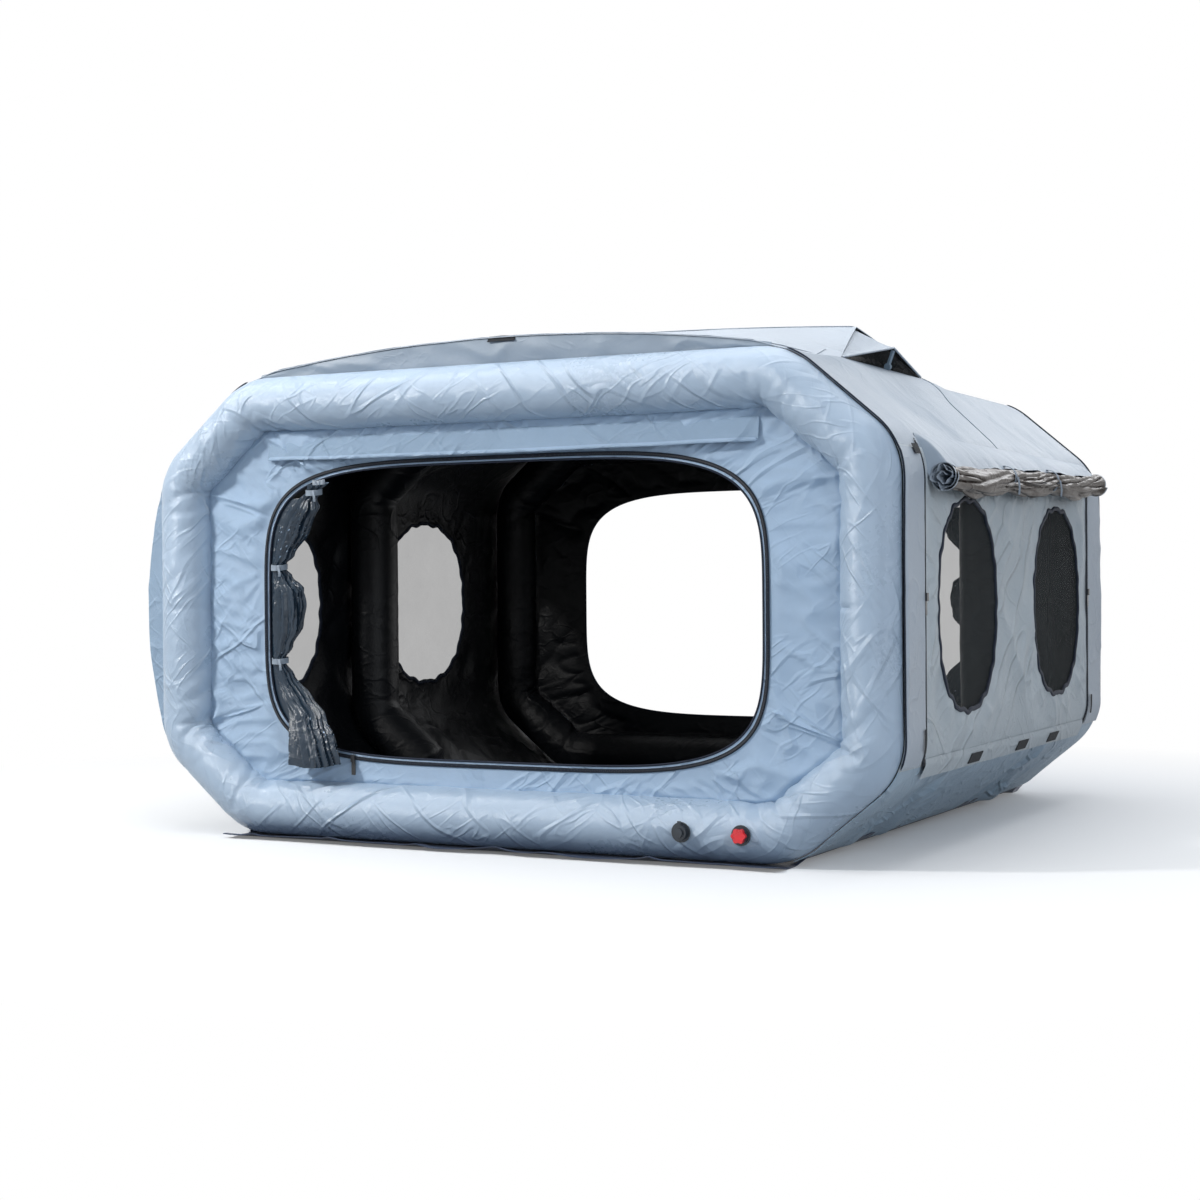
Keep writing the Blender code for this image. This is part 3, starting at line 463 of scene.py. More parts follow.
class Finishes:
    """Every material of the tent, made once."""

    def __init__(self) -> None:
        """Build the materials."""
        silver = (0.38, 0.49, 0.62)
        self.sleeve = CoatedCloth(
            "sleeve_cloth", silver, 0.30, True, 0.016, weave=0.003, shine=0.90
        ).make()
        self.panel = CoatedCloth(
            "panel_cloth", (0.38, 0.51, 0.67), 0.40, creases=0.020, facing=1
        ).make()
        # The panel's cloth painted darker, as painted shade: on the rain flap under the ring's top
        # and on the left side's margins.
        self.flap = CoatedCloth(
            "flap_cloth", (0.29, 0.40, 0.53), 0.42, creases=0.020, facing=1
        ).make()
        self.roof = CoatedCloth("cover_cloth", (0.43, 0.48, 0.54), 0.50, creases=0.008).make()
        # The cover's cloth painted darker, as painted shade on the roof slopes, their seams, the
        # gable and the cover heads.
        self.slope = CoatedCloth("slope_cloth", (0.265, 0.320, 0.385), 0.50, creases=0.004).make()
        # The cover's cloth painted lighter, as painted light on the upright walls and their hems.
        self.wall = CoatedCloth(
            "wall_cloth", (0.53, 0.585, 0.62), 0.50, creases=0.024, facing=0
        ).make()
        self.base = CoatedCloth(
            "base_cloth", (0.40, 0.52, 0.63), 0.46, creases=0.026, facing=0
        ).make()
        self.lining = CoatedCloth(
            "lining_cloth", (0.006, 0.007, 0.009), 0.42, creases=0.008, sheen=0.02, shine=0.25
        ).make()
        self.ground = CoatedCloth(
            "ground_cloth", (0.022, 0.036, 0.075), 0.50, creases=0.007, sheen=0.05
        ).make()
        self.film = CoatedCloth(
            "bladder_film", (0.55, 0.58, 0.60), 0.30, creases=0.002, sheen=0.0
        ).make()
        self.door = CoatedCloth(
            "rolled_door", (0.016, 0.033, 0.055), 0.27, creases=0.006, sheen=0.0, shine=0.45
        ).make()
        # Dark cloth; its brown tint is a painted warm reflection of the ground and wall.
        self.cover = CoatedCloth(
            "rolled_cover", (0.022, 0.012, 0.007), 0.34, creases=0.005, sheen=0.0, shine=0.22
        ).make()
        self.net = NetCloth("window_mesh").make()
        self.binding = Ribbing("binding", (0.014, 0.020, 0.036), 0.0022, 0.55).make()
        self.tape = Ribbing("zip_tape", (0.014, 0.019, 0.030)).make()
        self.webbing = Ribbing("webbing", (0.30, 0.35, 0.41), 0.0026).make()
        self.dark_webbing = Ribbing("dark_webbing", (0.020, 0.022, 0.026), 0.0026).make()
        self.strut = Ribbing("strut_grey", (0.20, 0.27, 0.34), 0.0030, 0.6).make()
        self.teeth = Moulding("zip_teeth", (0.018, 0.020, 0.026), 0.35, 0.2).make()
        self.slider = Moulding("slider_black", (0.020, 0.021, 0.024), 0.34, 0.3).make()
        self.black = Moulding("valve_black", (0.020, 0.026, 0.034), 0.38, 0.2).make()
        self.red = Moulding("knob_red", (0.72, 0.012, 0.022), 0.26, 0.5).make()


def deselect() -> None:
    """Leave edit mode and select nothing."""
    if bpy.context.mode != "OBJECT":
        bpy.ops.object.mode_set(mode="OBJECT")
    bpy.ops.object.select_all(action="DESELECT")


def pick(*pieces: bpy.types.Object) -> None:
    """Select these pieces alone, the first one active.

    Args:
        pieces: The pieces.
    """
    deselect()
    for piece in pieces:
        piece.select_set(True)
    bpy.context.view_layer.objects.active = pieces[0]


def finished(piece: bpy.types.Object, *finishes: bpy.types.Material) -> None:
    """Give a piece its finishes, in order.

    Args:
        piece: The piece.
        finishes: Its materials.
    """
    piece.data.materials.clear()
    for finish in finishes:
        piece.data.materials.append(finish)


def apply_all(piece: bpy.types.Object) -> None:
    """Apply a piece's modifiers in order.

    Args:
        piece: The piece.
    """
    pick(piece)
    for modifier in list(piece.modifiers):
        bpy.ops.object.modifier_apply(modifier=modifier.name)


def merged(piece: bpy.types.Object, reach: float = 0.00001) -> None:
    """Merge a piece's doubles and turn its faces outwards.

    Args:
        piece: The piece.
        reach: How close two points are one.
    """
    pick(piece)
    bpy.ops.object.mode_set(mode="EDIT")
    bpy.ops.mesh.select_all(action="SELECT")
    bpy.ops.mesh.remove_doubles(threshold=reach)
    bpy.ops.mesh.normals_make_consistent(inside=False)
    bpy.ops.object.mode_set(mode="OBJECT")


def faced(piece: bpy.types.Object, towards: Optional[Vector], away_from: Optional[Vector]) -> None:
    """Turn an open sheet so that most of its faces look one way.

    Args:
        piece: The sheet.
        towards: The direction that it faces.
        away_from: Or else the point that it faces away from.
    """
    total = 0.0
    for face in piece.data.polygons:
        way = towards if towards is not None else face.center - away_from
        total += face.normal.dot(way) * face.area
    if total < 0:
        piece.data.flip_normals()


def shaped(
    name: str, columns: int, rows: int, place: Place, flat: tuple[float, float]
) -> bpy.types.Object:
    """A grid whose points are moved into place one by one, as in sculpting.

    Args:
        name: Its name.
        columns: Faces along its first way.
        rows: Faces along its second way.
        place: The point at a share of each way.
        flat: The cloth's size in metres, which its UV map has.

    Returns:
        The grid's object.
    """
    deselect()
    bpy.ops.mesh.primitive_grid_add(
        x_subdivisions=columns, y_subdivisions=rows, size=2, calc_uvs=True
    )
    piece = bpy.context.object
    piece.name = piece.data.name = name
    for point in piece.data.vertices:
        point.co = place((point.co.x + 1) / 2, (point.co.y + 1) / 2)
    for loop in piece.data.uv_layers[0].data:
        loop.uv = (loop.uv[0] * flat[0], loop.uv[1] * flat[1])
    piece.data.update()
    return piece


def sheet(
    piece: bpy.types.Object,
    finishes: Sequence[bpy.types.Material],
    wall: float,
    towards: Optional[Vector] = None,
    away_from: Optional[Vector] = None,
    closed: bool = False,
) -> bpy.types.Object:
    """Turn a shaped grid into cloth with a wall, its lining on the inside.

    Args:
        piece: The shaped grid.
        finishes: The outer finish, and the inner one if it differs.
        wall: The cloth's thickness in metres.
        towards: The direction that the outer side faces.
        away_from: Or else the point that it faces away from.
        closed: Whether the grid's edges meet.

    Returns:
        The cloth.
    """
    finished(piece, *finishes)
    if closed:
        merged(piece)
    if towards is not None or away_from is not None:
        faced(piece, towards, away_from)
    if wall:
        solidify = piece.modifiers.new("wall", "SOLIDIFY")
        solidify.thickness = wall
        solidify.offset = -1
        solidify.material_offset = len(finishes) - 1
        apply_all(piece)
    pick(piece)
    bpy.ops.object.shade_smooth_by_angle(angle=CLOTH_ANGLE)
    return piece


def cloth(
    name: str,
    counts: tuple[int, int],
    place: Place,
    flat: tuple[float, float],
    finishes: Sequence[bpy.types.Material],
    wall: float,
    slot: str,
    nodes: Sequence[str],
    held: str,
    rests_on: Sequence[str],
    area: Optional[float] = None,
    cut: Optional[tuple[float, float]] = None,
    **facing: object,
) -> None:
    """Make a sheet of cloth and put it on the tent.

    Args:
        name: Its name.
        counts: Faces along each of its ways.
        place: The point at a share of each way.
        flat: Its flat size, which its UV map has.
        finishes: The outer finish, and the inner one if it differs.
        wall: Its thickness.
        slot: The material slot's name.
        nodes: The nodes that it replaces.
        held: How it is held; not used.
        rests_on: The pieces that it rests on; not used.
        area: Its flat area, where it has holes or slanted sides; not used.
        cut: Its flat size, where its UV map has another; not used.
        facing: Which way it faces, and whether its edges meet.
    """
    piece = sheet(shaped(name, *counts, place, flat), finishes, wall, **facing)
    rides(piece, slot, *nodes)


def cut_size(piece: bpy.types.Object, length: float, digits: int = 3) -> tuple[float, float]:
    """The flat size of a walled sheet of a known length, from its own area."""
    area = sum(face.area for face in piece.data.polygons) / 2
    return round(length, 3), round(area / length, digits)


def joined(name: str, pieces: Sequence[bpy.types.Object]) -> bpy.types.Object:
    """Join pieces into one.

    Args:
        name: The joined piece's name.
        pieces: The pieces.

    Returns:
        The joined piece.
    """
    pick(*pieces)
    if len(pieces) > 1:
        bpy.ops.object.join()
    piece = bpy.context.object
    piece.name = piece.data.name = name
    return piece


def rides(piece: bpy.types.Object, slot: str, *nodes: str) -> bpy.types.Object:
    """Put a piece on the tent's body, and hide the nodes that it stands for.

    Args:
        piece: The piece.
        slot: The material slot's name; not used.
        nodes: The nodes that it replaces.

    Returns:
        The piece.
    """
    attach(piece, "root")
    if nodes:
        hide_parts(*nodes)
    LOG.info("%s rides on the tent", piece.name)
    return piece


@dataclass(frozen=True)
class Station:
    """One place on the rings' centre line."""

    run: float  # metres along the line
    x: float
    z: float
    out_x: float
    out_z: float
    bend: float  # metres to the nearest bend's middle, with its sign


@dataclass(frozen=True)
class RingLine:
    """The rings' centre line: an octagon with bent corners, from the bottom's middle."""

    half_width: float = 1.320
    rise: float = 1.439
    top_width: float = 0.309
    top_drop: float = 0.263
    bottom_width: float = 0.296
    bottom_rise: float = 0.244
    cut: float = 0.066  # how far from its corner a bend starts
    step: float = 0.004  # from one place to the next

    def corners(self) -> list[Vector]:
        """The octagon's corners, anticlockwise from the bottom right.

        Returns:
            Points across and up.
        """
        top = BOTTOM_LINE_Z + self.rise
        right = [
            (self.half_width - self.bottom_width, BOTTOM_LINE_Z),
            (self.half_width, BOTTOM_LINE_Z + self.bottom_rise),
            (self.half_width, top - self.top_drop),
            (self.half_width - self.top_width, top),
        ]
        return [Vector(point) for point in right + [(-x, z) for x, z in reversed(right)]]

    def stations(self) -> list[Station]:
        """Places all round the line, which starts and ends at the bottom's middle.

        Returns:
            The places in order.
        """
        corners = self.corners()
        points: list[Vector] = [Vector((0, BOTTOM_LINE_Z))]
        middles: list[int] = []
        for index, corner in enumerate(corners):
            before = (corners[index - 1] - corner).normalized() * self.cut
            after = (corners[(index + 1) % len(corners)] - corner).normalized() * self.cut
            start = corner + before
            gap = (start - points[-1]).length
            count = max(1, round(gap / self.step))
            last = points[-1]
            points += [last.lerp(start, step / count) for step in range(1, count + 1)]
            count = round(1.9 * self.cut / self.step) // 2 * 2
            middles.append(len(points) - 1 + count // 2)
            for step in range(1, count + 1):
                share = step / count
                first = start.lerp(corner, share)
                points.append(first.lerp(corner.lerp(corner + after, share), share))
        last = points[-1]
        count = round((points[0] - last).length / self.step)
        points += [last.lerp(points[0], step / count) for step in range(1, count + 1)]
        runs = [0.0]
        for here, there in zip(points, points[1:]):
            runs.append(runs[-1] + (there - here).length)
        made = []
        for index, point in enumerate(points):
            before = points[index - 1] if index else points[-2]
            after = points[index + 1] if index + 1 < len(points) else points[1]
            way = (after - before).normalized()
            near = min((runs[index] - runs[middle] for middle in middles), key=abs)
            made.append(Station(runs[index], point.x, point.y, way.y, -way.x, near))
        return made


class Outline:
    """Reads the rings' centre line at any run, moved out by any distance."""

    def __init__(self, line: RingLine) -> None:
        """Work out the line's places once.

        Args:
            line: The centre line.
        """
        self.made = line.stations()
        self.length = self.made[-1].run
        self.bends = [
            here.run
            for before, here, after in zip(self.made, self.made[1:], self.made[2:])
            if abs(here.bend) < abs(before.bend) and abs(here.bend) <= abs(after.bend)
        ]
        self.runs = [here.run for here in self.made]

    def at(self, run: float) -> Station:
        """The place at a run, between the stored places.

        Args:
            run: Metres along the line.

        Returns:
            The place.
        """
        run %= self.length
        low = min(bisect_right(self.runs, run), len(self.runs) - 1) - 1
        first, second = self.made[low], self.made[low + 1]
        share = (run - first.run) / max(1e-9, second.run - first.run)

        def part(name: str) -> float:
            """One value between the two places."""
            start = getattr(first, name)
            return start + (getattr(second, name) - start) * share

        return Station(run, *map(part, ("x", "z", "out_x", "out_z", "bend")))

    def point(self, run: float, out: float, y: float) -> Vector:
        """A point at a run, that many metres outside the line."""
        here = self.at(run)
        return Vector((here.x + here.out_x * out, y, here.z + here.out_z * out))

    def run_at_z(self, z: float) -> float:
        """The run on the right side at a height."""
        side = [here for here in self.made if here.x > 0 and here.run < self.length / 2]
        return min(side, key=lambda here: abs(here.z - z)).run


Frame = tuple[Vector, Vector, Vector]
Track = Callable[[float], Frame]


def framed(path: Callable[[float], Vector], out: Callable[[float], Vector], nudge: float) -> Track:
    """A track from a path: its point, the way to its side and the way out.

    Args:
        path: The point at a share of the path.
        out: The surface's outward direction there.
        nudge: A small share, for reading the path's direction.

    Returns:
        The track.
    """

    def at(share: float) -> Frame:
        """The track's frame at a share."""
        normal = out(share)
        way = path(share + nudge) - path(share - nudge)
        return path(share), way.cross(normal).normalized(), normal

    return at


def ribbon(
    name: str,
    track: Track,
    size: tuple[float, float],
    rows: int,
    closed: bool,
    finish: bpy.types.Material,
    slot: str,
    *nodes: str,
) -> None:
    """Make a band or a cord along a track, with rounded edges.

    Args:
        name: Its name.
        track: The track.
        size: Half its width and half its height.
        rows: Faces along it.
        closed: Whether the track comes back to its start.
        finish: Its material.
        slot: The material slot's name.
        nodes: The nodes that it replaces.
    """

    def place(along: float, around: float) -> Vector:
        """A point on the band."""
        middle, side, out = track(along % 1.0 if closed else along)
        angle = around * FULL_TURN
        ease = 1.0 if closed or 0 < round(along * rows) < rows else 0.0
        across = signed(math.cos(angle), BAND_ROUNDING) * size[0]
        above = signed(math.sin(angle), BAND_ROUNDING) * size[1]
        return middle + side * across * ease + out * above * ease

    piece = shaped(name, rows, BAND_SIDES, place, (rows * 0.01, 2 * size[0]))
    merged(piece)
    pick(piece)
    bpy.ops.object.shade_smooth_by_angle(angle=BAND_ANGLE)
    finished(piece, finish)
    rides(piece, slot, *nodes)


def zip_teeth(
    name: str,
    track: Track,
    count: int,
    size: tuple[float, float, float],
    finish: bpy.types.Material,
) -> None:
    """Make a row of moulded teeth, each copied from one that is modelled.

    Args:
        name: Its name.
        track: The track that they stand on.
        count: How many.
        size: Half a tooth's length across, half its thickness along, and its height.
        finish: Their material.
    """
    deselect()
    bpy.ops.mesh.primitive_cube_add(size=2)
    tooth = bpy.context.object
    bpy.ops.object.mode_set(mode="EDIT")
    bpy.ops.mesh.select_all(action="SELECT")
    bpy.ops.transform.resize(value=(1.0, 0.6, 1.0))
    bpy.ops.object.mode_set(mode="OBJECT")
    points = [point.co.copy() for point in tooth.data.vertices]
    faces = [tuple(face.vertices) for face in tooth.data.polygons]
    bpy.data.objects.remove(tooth)
    made_points: list[Vector] = []
    made_faces: list[tuple[int, ...]] = []
    for index in range(count):
        middle, side, out = track((index + 0.5) / count)
        ahead = side.cross(out)
        shift = size[0] * (0.35 if index % 2 else -0.35)
        start = len(made_points)
        for point in points:
            made_points.append(
                middle
                + side * (point.x * size[0] + shift)
                + ahead * (point.y * size[1])
                + out * (point.z * size[2])
            )
        made_faces += [tuple(start + corner for corner in face) for face in faces]
    mesh = bpy.data.meshes.new(name)
    mesh.from_pydata(made_points, [], made_faces)
    mesh.update()
    piece = bpy.data.objects.new(name, mesh)
    bpy.context.scene.collection.objects.link(piece)
    merged(piece, 0.0000001)
    finished(piece, finish)
    rides(piece, "zip_tape")


def egg(angle: float, half: tuple[float, float], roundness: float) -> float:
    """How far a rounded outline lies from its middle in one direction."""
    across = abs(math.cos(angle) / half[0]) ** roundness
    return (across + abs(math.sin(angle) / half[1]) ** roundness) ** (-1 / roundness)


@dataclass
class Maker:
    """A sub-assembly, with what each of them is given."""

    outline: Outline
    finishes: Finishes

    def zipper(
        self,
        title: str,
        track: Track,
        tape: tuple[float, float],
        counts: tuple[int, int],
        closed: bool,
        tooth: float,
        height: float,
    ) -> None:
        """Make a zip: its tape, and the teeth on top of it.

        Args:
            title: What its pieces' names start with.
            track: Its line.
            tape: Half the tape's width and height.
            counts: Faces along the tape, and teeth.
            closed: Whether it runs all the way round.
            tooth: Half a tooth's length across.
            height: Where the teeth's middles are above the line.
        """
        name = f"{title}_zip"
        looks = self.finishes
        ribbon(f"{name}_tape", track, tape, counts[0], closed, looks.tape, "zip_tape", name)

        def raised(share: float) -> Frame:
            """The track on top of the tape."""
            middle, side, out = track(share)
            return middle + out * height, side, out

        zip_teeth(f"{name}_teeth", raised, counts[1], (tooth, 0.0017, 0.0009), looks.teeth)

    def inflated(
        self, tube: bpy.types.Object, finishes: Sequence[bpy.types.Material], slot: str, node: str
    ) -> None:
        """Finish a tube's sleeve or bladder, which is full of air, and put it on the tent."""
        rides(sheet(tube, finishes, 0, closed=True), slot, node)


@dataclass
class AirRing(Maker):
    """One end ring: an inflated sleeve, gathered at its bends, and the bladder in it."""

    end: End
    around: int = 44
    spacing: float = 0.0115  # from one row of faces to the next
    fold_depth: float = 0.0105
    fold_reach: float = 0.17  # how far from a bend they go
    pucker: float = 0.0026  # how high the gathers along the seams are

    def radius(self, here: Station, angle: float) -> float:
        """The sleeve's radius.

        Args:
            here: The place along the ring.
            angle: Round the tube, from its outer side.

        Returns:
            The radius in metres.
        """
        seed = 3.0 + self.end.value
        inner = (1 - math.cos(angle)) / 2
        length = self.outline.length
        seam = fade(min(here.run, length - here.run), 0.0, 0.06)
        near = math.exp(-((here.bend / self.fold_reach) ** 2)) * seam
        turn = ray(angle)
        folds = crease(here.run * 13 + turn.y * 0.8, turn.x * 0.7 + turn.y * 0.3, seed)
        small = crease(here.run * 27 - turn.y * 1.1, turn.x * 1.1, seed + 5)
        gathers = rumple(here.run * 24 + turn.y * 1.6, turn.x * 1.3 + turn.y * 0.4, seed + 9)
        slow = rumple(here.run * 3.1, turn.x * 0.9 + turn.y * 0.6, seed + 13)
        deep = self.fold_depth * near * (0.14 + 0.86 * inner**1.5)
        tight = TUBE_RADIUS - 0.0010 + 0.0012 * slow * seam
        tight += self.pucker * gathers * seam * (0.22 + 0.78 * inner)
        return tight - deep * folds - 0.35 * deep * small - self.pucker * 0.5 * small * inner

    def tube(self, name: str, rows: int, around: int, radius: Optional[float]) -> bpy.types.Object:
        """Shape a closed tube along the ring.

        Args:
            name: Its name.
            rows: Faces along it.
            around: Faces round it.
            radius: Its radius, or none for the sleeve's own.

        Returns:
            The tube.
        """
        outline = self.outline

        def place(along: float, turn: float) -> Vector:
            """A point on the tube."""
            here = outline.at(along % 1.0 * outline.length)
            angle = turn * FULL_TURN
            size = radius or self.radius(here, angle)
            y = self.end.value * RING_Y + size * math.sin(angle)
            return outline.point(here.run, size * math.cos(angle), y)

        flat = (outline.length, FULL_TURN * TUBE_RADIUS)
        return shaped(name, rows, around, place, flat)

    def build(self) -> None:
        """Make the sleeve and the bladder."""
        title = self.end.title
        rows = round(self.outline.length / self.spacing)
        tube = self.tube(f"{title}_sleeve", rows, self.around, None)
        finishes = [self.finishes.sleeve, self.finishes.lining]
        self.inflated(tube, finishes, "sleeve_cloth", f"{title}_ring_sleeve")
        for face in tube.data.polygons:
            if abs(face.center.y) < RING_Y - 0.002:
                face.material_index = 1
        tube = self.tube(f"{title}_bladder", 160, 16, FILM_RADIUS)
        self.inflated(tube, [self.finishes.film], "bladder_film", f"{title}_ring_bladder")


@dataclass
class MiddleArch(Maker):
    """The arch between the rings, in dark lining cloth and closed at its feet."""

    foot: float = 0.020  # how far past its lowest bend each foot ends
    dome: float = 0.035  # length of the rounded end

    def tube(
        self, name: str, rows: int, around: int, radius: float, gather: float
    ) -> bpy.types.Object:
        """Shape the arch's tube.

        Args:
            name: Its name.
            rows: Faces along it.
            around: Faces round it.
            radius: Its radius.
            gather: How high its gathers are.

        Returns:
            The tube.
        """
        outline = self.outline
        start = outline.bends[0] + self.foot
        length = outline.bends[-1] - self.foot - start

        def place(along: float, turn: float) -> Vector:
            """A point on the tube."""
            run = start + along * length
            here = outline.at(run)
            end = min(1.0, min(along, 1 - along) * length / self.dome)
            angle = turn * FULL_TURN
            size = radius * math.sqrt(max(0.0, 1 - (1 - end) ** 2))
            inner = (1 - math.cos(angle)) / 2
            near = math.exp(-((here.bend / 0.16) ** 2))
            folds = crease(run * 15, math.cos(angle) * 0.7 + math.sin(angle) * 0.4, 31)
            waves = rumple(run * 20 + math.sin(angle), math.cos(angle) * 1.2, 37)
            size += end * gather * (waves - 4.0 * near * inner * folds)
            return outline.point(run, size * math.cos(angle), size * math.sin(angle))

        return shaped(name, rows, around, place, (length, FULL_TURN * radius))

    def build(self) -> None:
        """Make the sleeve and the bladder."""
        tube = self.tube("middle_sleeve", 320, 30, TUBE_RADIUS - 0.0015, 0.0015)
        self.inflated(tube, [self.finishes.lining], "lining_cloth", "middle_arch_sleeve")
        tube = self.tube("middle_bladder", 120, 16, FILM_RADIUS, 0)
        self.inflated(tube, [self.finishes.film], "bladder_film", "middle_arch_bladder")


@dataclass(frozen=True)
class Window:
    """The oval of a mesh window, with the waves that its binding pulls into it."""

    y: float
    half: tuple[float, float] = (0.322, 0.352)
    roundness: float = 2.3  # power of its rounded outline
    wave: float = 0.019  # height of the waves, as a share
    seed: float = 0.0

    @property
    def area(self) -> float:
        """The oval's area, from its half width and height."""
        return WINDOW_AREA * self.half[0] * self.half[1]

    def reach(self, angle: float) -> float:
        """How far the window's edge lies from its middle."""
        waves = math.sin(19 * angle + self.seed) + 0.6 * math.sin(31 * angle + 2 * self.seed)
        return egg(angle, self.half, self.roundness) * (1 + self.wave * waves * 0.6)


def corner_lift(y: float) -> float:
    """How far the vent holds the roof's corner up between the rings."""
    return 0.016 * (1 - fade(abs(y - RIDGE_Y), VENT_HALF, VENT_HALF + 0.34))


@dataclass
class SideSkin(Maker):
    """One side of the tent: roof slope, wall with windows, bottom slope and their trim."""

    side: Side
    window_z: float = 0.812  # height of the windows' middles
    bay_sag: float = 0.011  # how far the cloth dips between its supports
    zip_y: float = 1.025  # place of the cover zip's uprights
    zip_bottom: float = 0.345
    zip_top: float = 1.292
    zip_corner: float = 0.060
    hem_share: float = 0.72  # share of a margin's width at its widest line

    def __post_init__(self) -> None:
        """Find the side's runs."""
        bends = self.outline.bends
        self.low, self.knee, self.hip, self.top = bends[:4]
        self.middle = self.outline.run_at_z(self.window_z)
        self.windows = (Window(-0.565, seed=0.7), Window(0.565, seed=2.9))
        self.bulge = 0.082 if self.side is Side.LEFT else 0.007
        self.out_way = Vector((self.side.value, 0, 0))

    def point(self, run: float, y: float, above: float = 0.0) -> Vector:
        """A point of the skin on its own side, at a run and so many metres above it."""
        made = self.outline.point(run, SKIN_OUT + above, y)
        return Vector((made.x * self.side.value, made.y, made.z))

    def slack(self, y: float) -> float:
        """How free the cloth is: 0 on the rings and the arch, 1 halfway between."""
        share = (abs(y) - 0.10) / (RING_Y - 0.20)
        return arch(min(1.0, max(0.0, share))) ** 2

    def ease(self, run: float, y: float, depth: float, seed: float) -> float:
        """How far the cloth stands off its plane.

        Args:
            run: Metres along the ring's line.
            y: Place along the tent.
            depth: Height of its wrinkles.
            seed: Picks another pattern.

        Returns:
            The height above the plane.
        """
        slack = self.slack(y)
        seed += self.side.value
        long = crease(y * 2.6 + run * 1.1, run * 0.9 - y * 0.5, seed) * slack
        cross = rumple(y * 9 + run * 5, run * 2.2 - y * 3, seed + 3)
        fine = crease(y * 7 - run * 3, run * 1.6 + y * 2, seed + 6)
        loose = 0.25 + 0.75 * slack
        return depth * (0.9 * long + loose * (0.45 * cross + 0.5 * fine)) - self.bay_sag * slack

    def drapes(self, y: float, run: float) -> float:
        """Long folds of the wall, which fade out near the zip and the roll.

        Args:
            y: Place along the tent.
            run: Metres along the ring's line.

        Returns:
            Their height.
        """
        foot = self.middle + self.zip_bottom - self.window_z
        inside = fade(min(run - foot, self.zip_y - abs(y)), 0.025, 0.15)
        inside *= fade(self.hip - run, 0.03, 0.16)
        seed = 23 + self.side.value
        upright = crease(y * 4.4 + 0.5 * math.sin(run * 5), y * 0.6 + run * 1.2, seed)
        rising = crease((y + run) * 3.6, (y - run) * 0.7, seed + 6)
        falling = crease((y - run) * 3.2, (y + run) * 0.6, seed + 8)
        return 0.023 * inside * (0.6 * upright + 0.6 * rising + 0.6 * falling - 0.25)

    def slope(self, kind: str, start: float, end: float, depth: float, finish: object) -> None:
        """Make one slope.

        Args:
            kind: Which slope.
            start: Run at its foot.
            end: Run at its head.
            depth: Height of its wrinkles.
            finish: Its outer material.
        """
        length = end - start

        def place(along: float, across: float) -> Vector:
            """A point on the slope."""
            run = start + across * length
            y = (2 * along - 1) * RING_Y
            edge = fade(min(across, 1 - across) * length, 0.0, 0.05)
            lift = 0.0
            if kind == "roof_slope":
                lift = corner_lift(y) * fade(run, end - 0.14, end)
            return self.point(run, y, edge * self.ease(run, y, depth, len(kind)) + lift)

        title = f"{self.side.title}_{kind}"
        cloth(
            f"{title}_cloth", (170, 44), place, (2 * RING_Y, length),
            (finish, self.finishes.lining), SKIN_WALL,
            "base_cloth" if kind == "bottom_slope" else "cover_cloth", [title],
            "stretched", RINGS, away_from=MIDDLE,
        )

    def cell(self, window: Window) -> bpy.types.Object:
        """Half the wall, from a window's edge to the wall's outline.

        Args:
            window: The window in it.

        Returns:
            The half wall.
        """
        ends = sorted((0.0, math.copysign(RING_Y, window.y)))
        corners = [
            Vector((ends[0], self.knee)),
            Vector((ends[1], self.knee)),
            Vector((ends[1], self.hip)),
            Vector((ends[0], self.hip)),
        ]
        middle = Vector((window.y, self.middle))

        def place(along: float, out: float) -> Vector:
            """A point on the half wall."""
            quarter, share = divmod(along % 1.0 * 4, 1.0)
            first = corners[int(quarter) % 4]
            rim = first.lerp(corners[(int(quarter) + 1) % 4], share)
            angle = math.atan2(rim.y - middle.y, rim.x - middle.x)
            reach = window.reach(angle)
            hole = middle + ray(angle) * reach
            spot = hole.lerp(rim, out**1.25)
            gap = (spot - hole).length
            rays = rumple(angle * 5.2, gap * 3, window.seed + 40)
            rays += 0.8 * crease(angle * 3.1, gap * 2, window.seed + 50)
            pull = math.exp(-gap / 0.11) * fade(gap, 0.0, 0.018) * (1 - fade(out, 0.7, 1.0))
            edge = fade(min(spot.y - self.knee, self.hip - spot.y), 0.0, 0.05)
            near = 0.3 + 0.7 * fade(gap, 0.0, 0.10)
            above = edge * near * self.ease(spot.y, spot.x, 0.0150, 17)
            above += self.drapes(spot.x, spot.y) * fade(gap, 0.0, 0.09)
            return self.point(spot.y, spot.x, above + 0.0065 * rays * pull * edge)

        piece = shaped(f"{self.side.title}_cell", 224, 26, place, (4.0, 0.5))
        for loop, corner in zip(piece.data.uv_layers[0].data, piece.data.loops):
            spot = piece.data.vertices[corner.vertex_index].co
            loop.uv = (spot.y, spot.z)
        return piece

    def wall(self) -> None:
        """Make the wall, with its two openings."""
        title = self.side.title
        piece = joined(f"{title}_wall_cloth", [self.cell(window) for window in self.windows])
        merged(piece, 0.0004)
        # The wall's outer side is the cover's cloth painted lighter, as painted light on the
        # upright wall.
        finishes = [self.finishes.wall, self.finishes.lining]
        piece = sheet(piece, finishes, SKIN_WALL, towards=self.out_way)
        rides(piece, "cover_cloth", f"{title}_side_wall")
        flat = (2 * RING_Y, self.hip - self.knee)
        area = flat[0] * flat[1] - 2 * self.windows[0].area

    def window(self, window: Window, end: End) -> None:
        """Make a window's net and the piping round it.

        Args:
            window: The window.
            end: Which of the two.
        """
        title = f"{self.side.title}_{end.title}_window"

        def net(along: float, out: float) -> Vector:
            """A point on the net."""
            angle = along * FULL_TURN
            reach = window.reach(angle % FULL_TURN) * out * 1.004
            y = window.y + math.cos(angle) * reach
            run = self.middle + math.sin(angle) * reach
            waves = rumple(y * 4, run * 4, window.seed) * (1 - out**4)
            return self.point(run, y, -0.0015 + 0.004 * waves - 0.004 * self.slack(y))

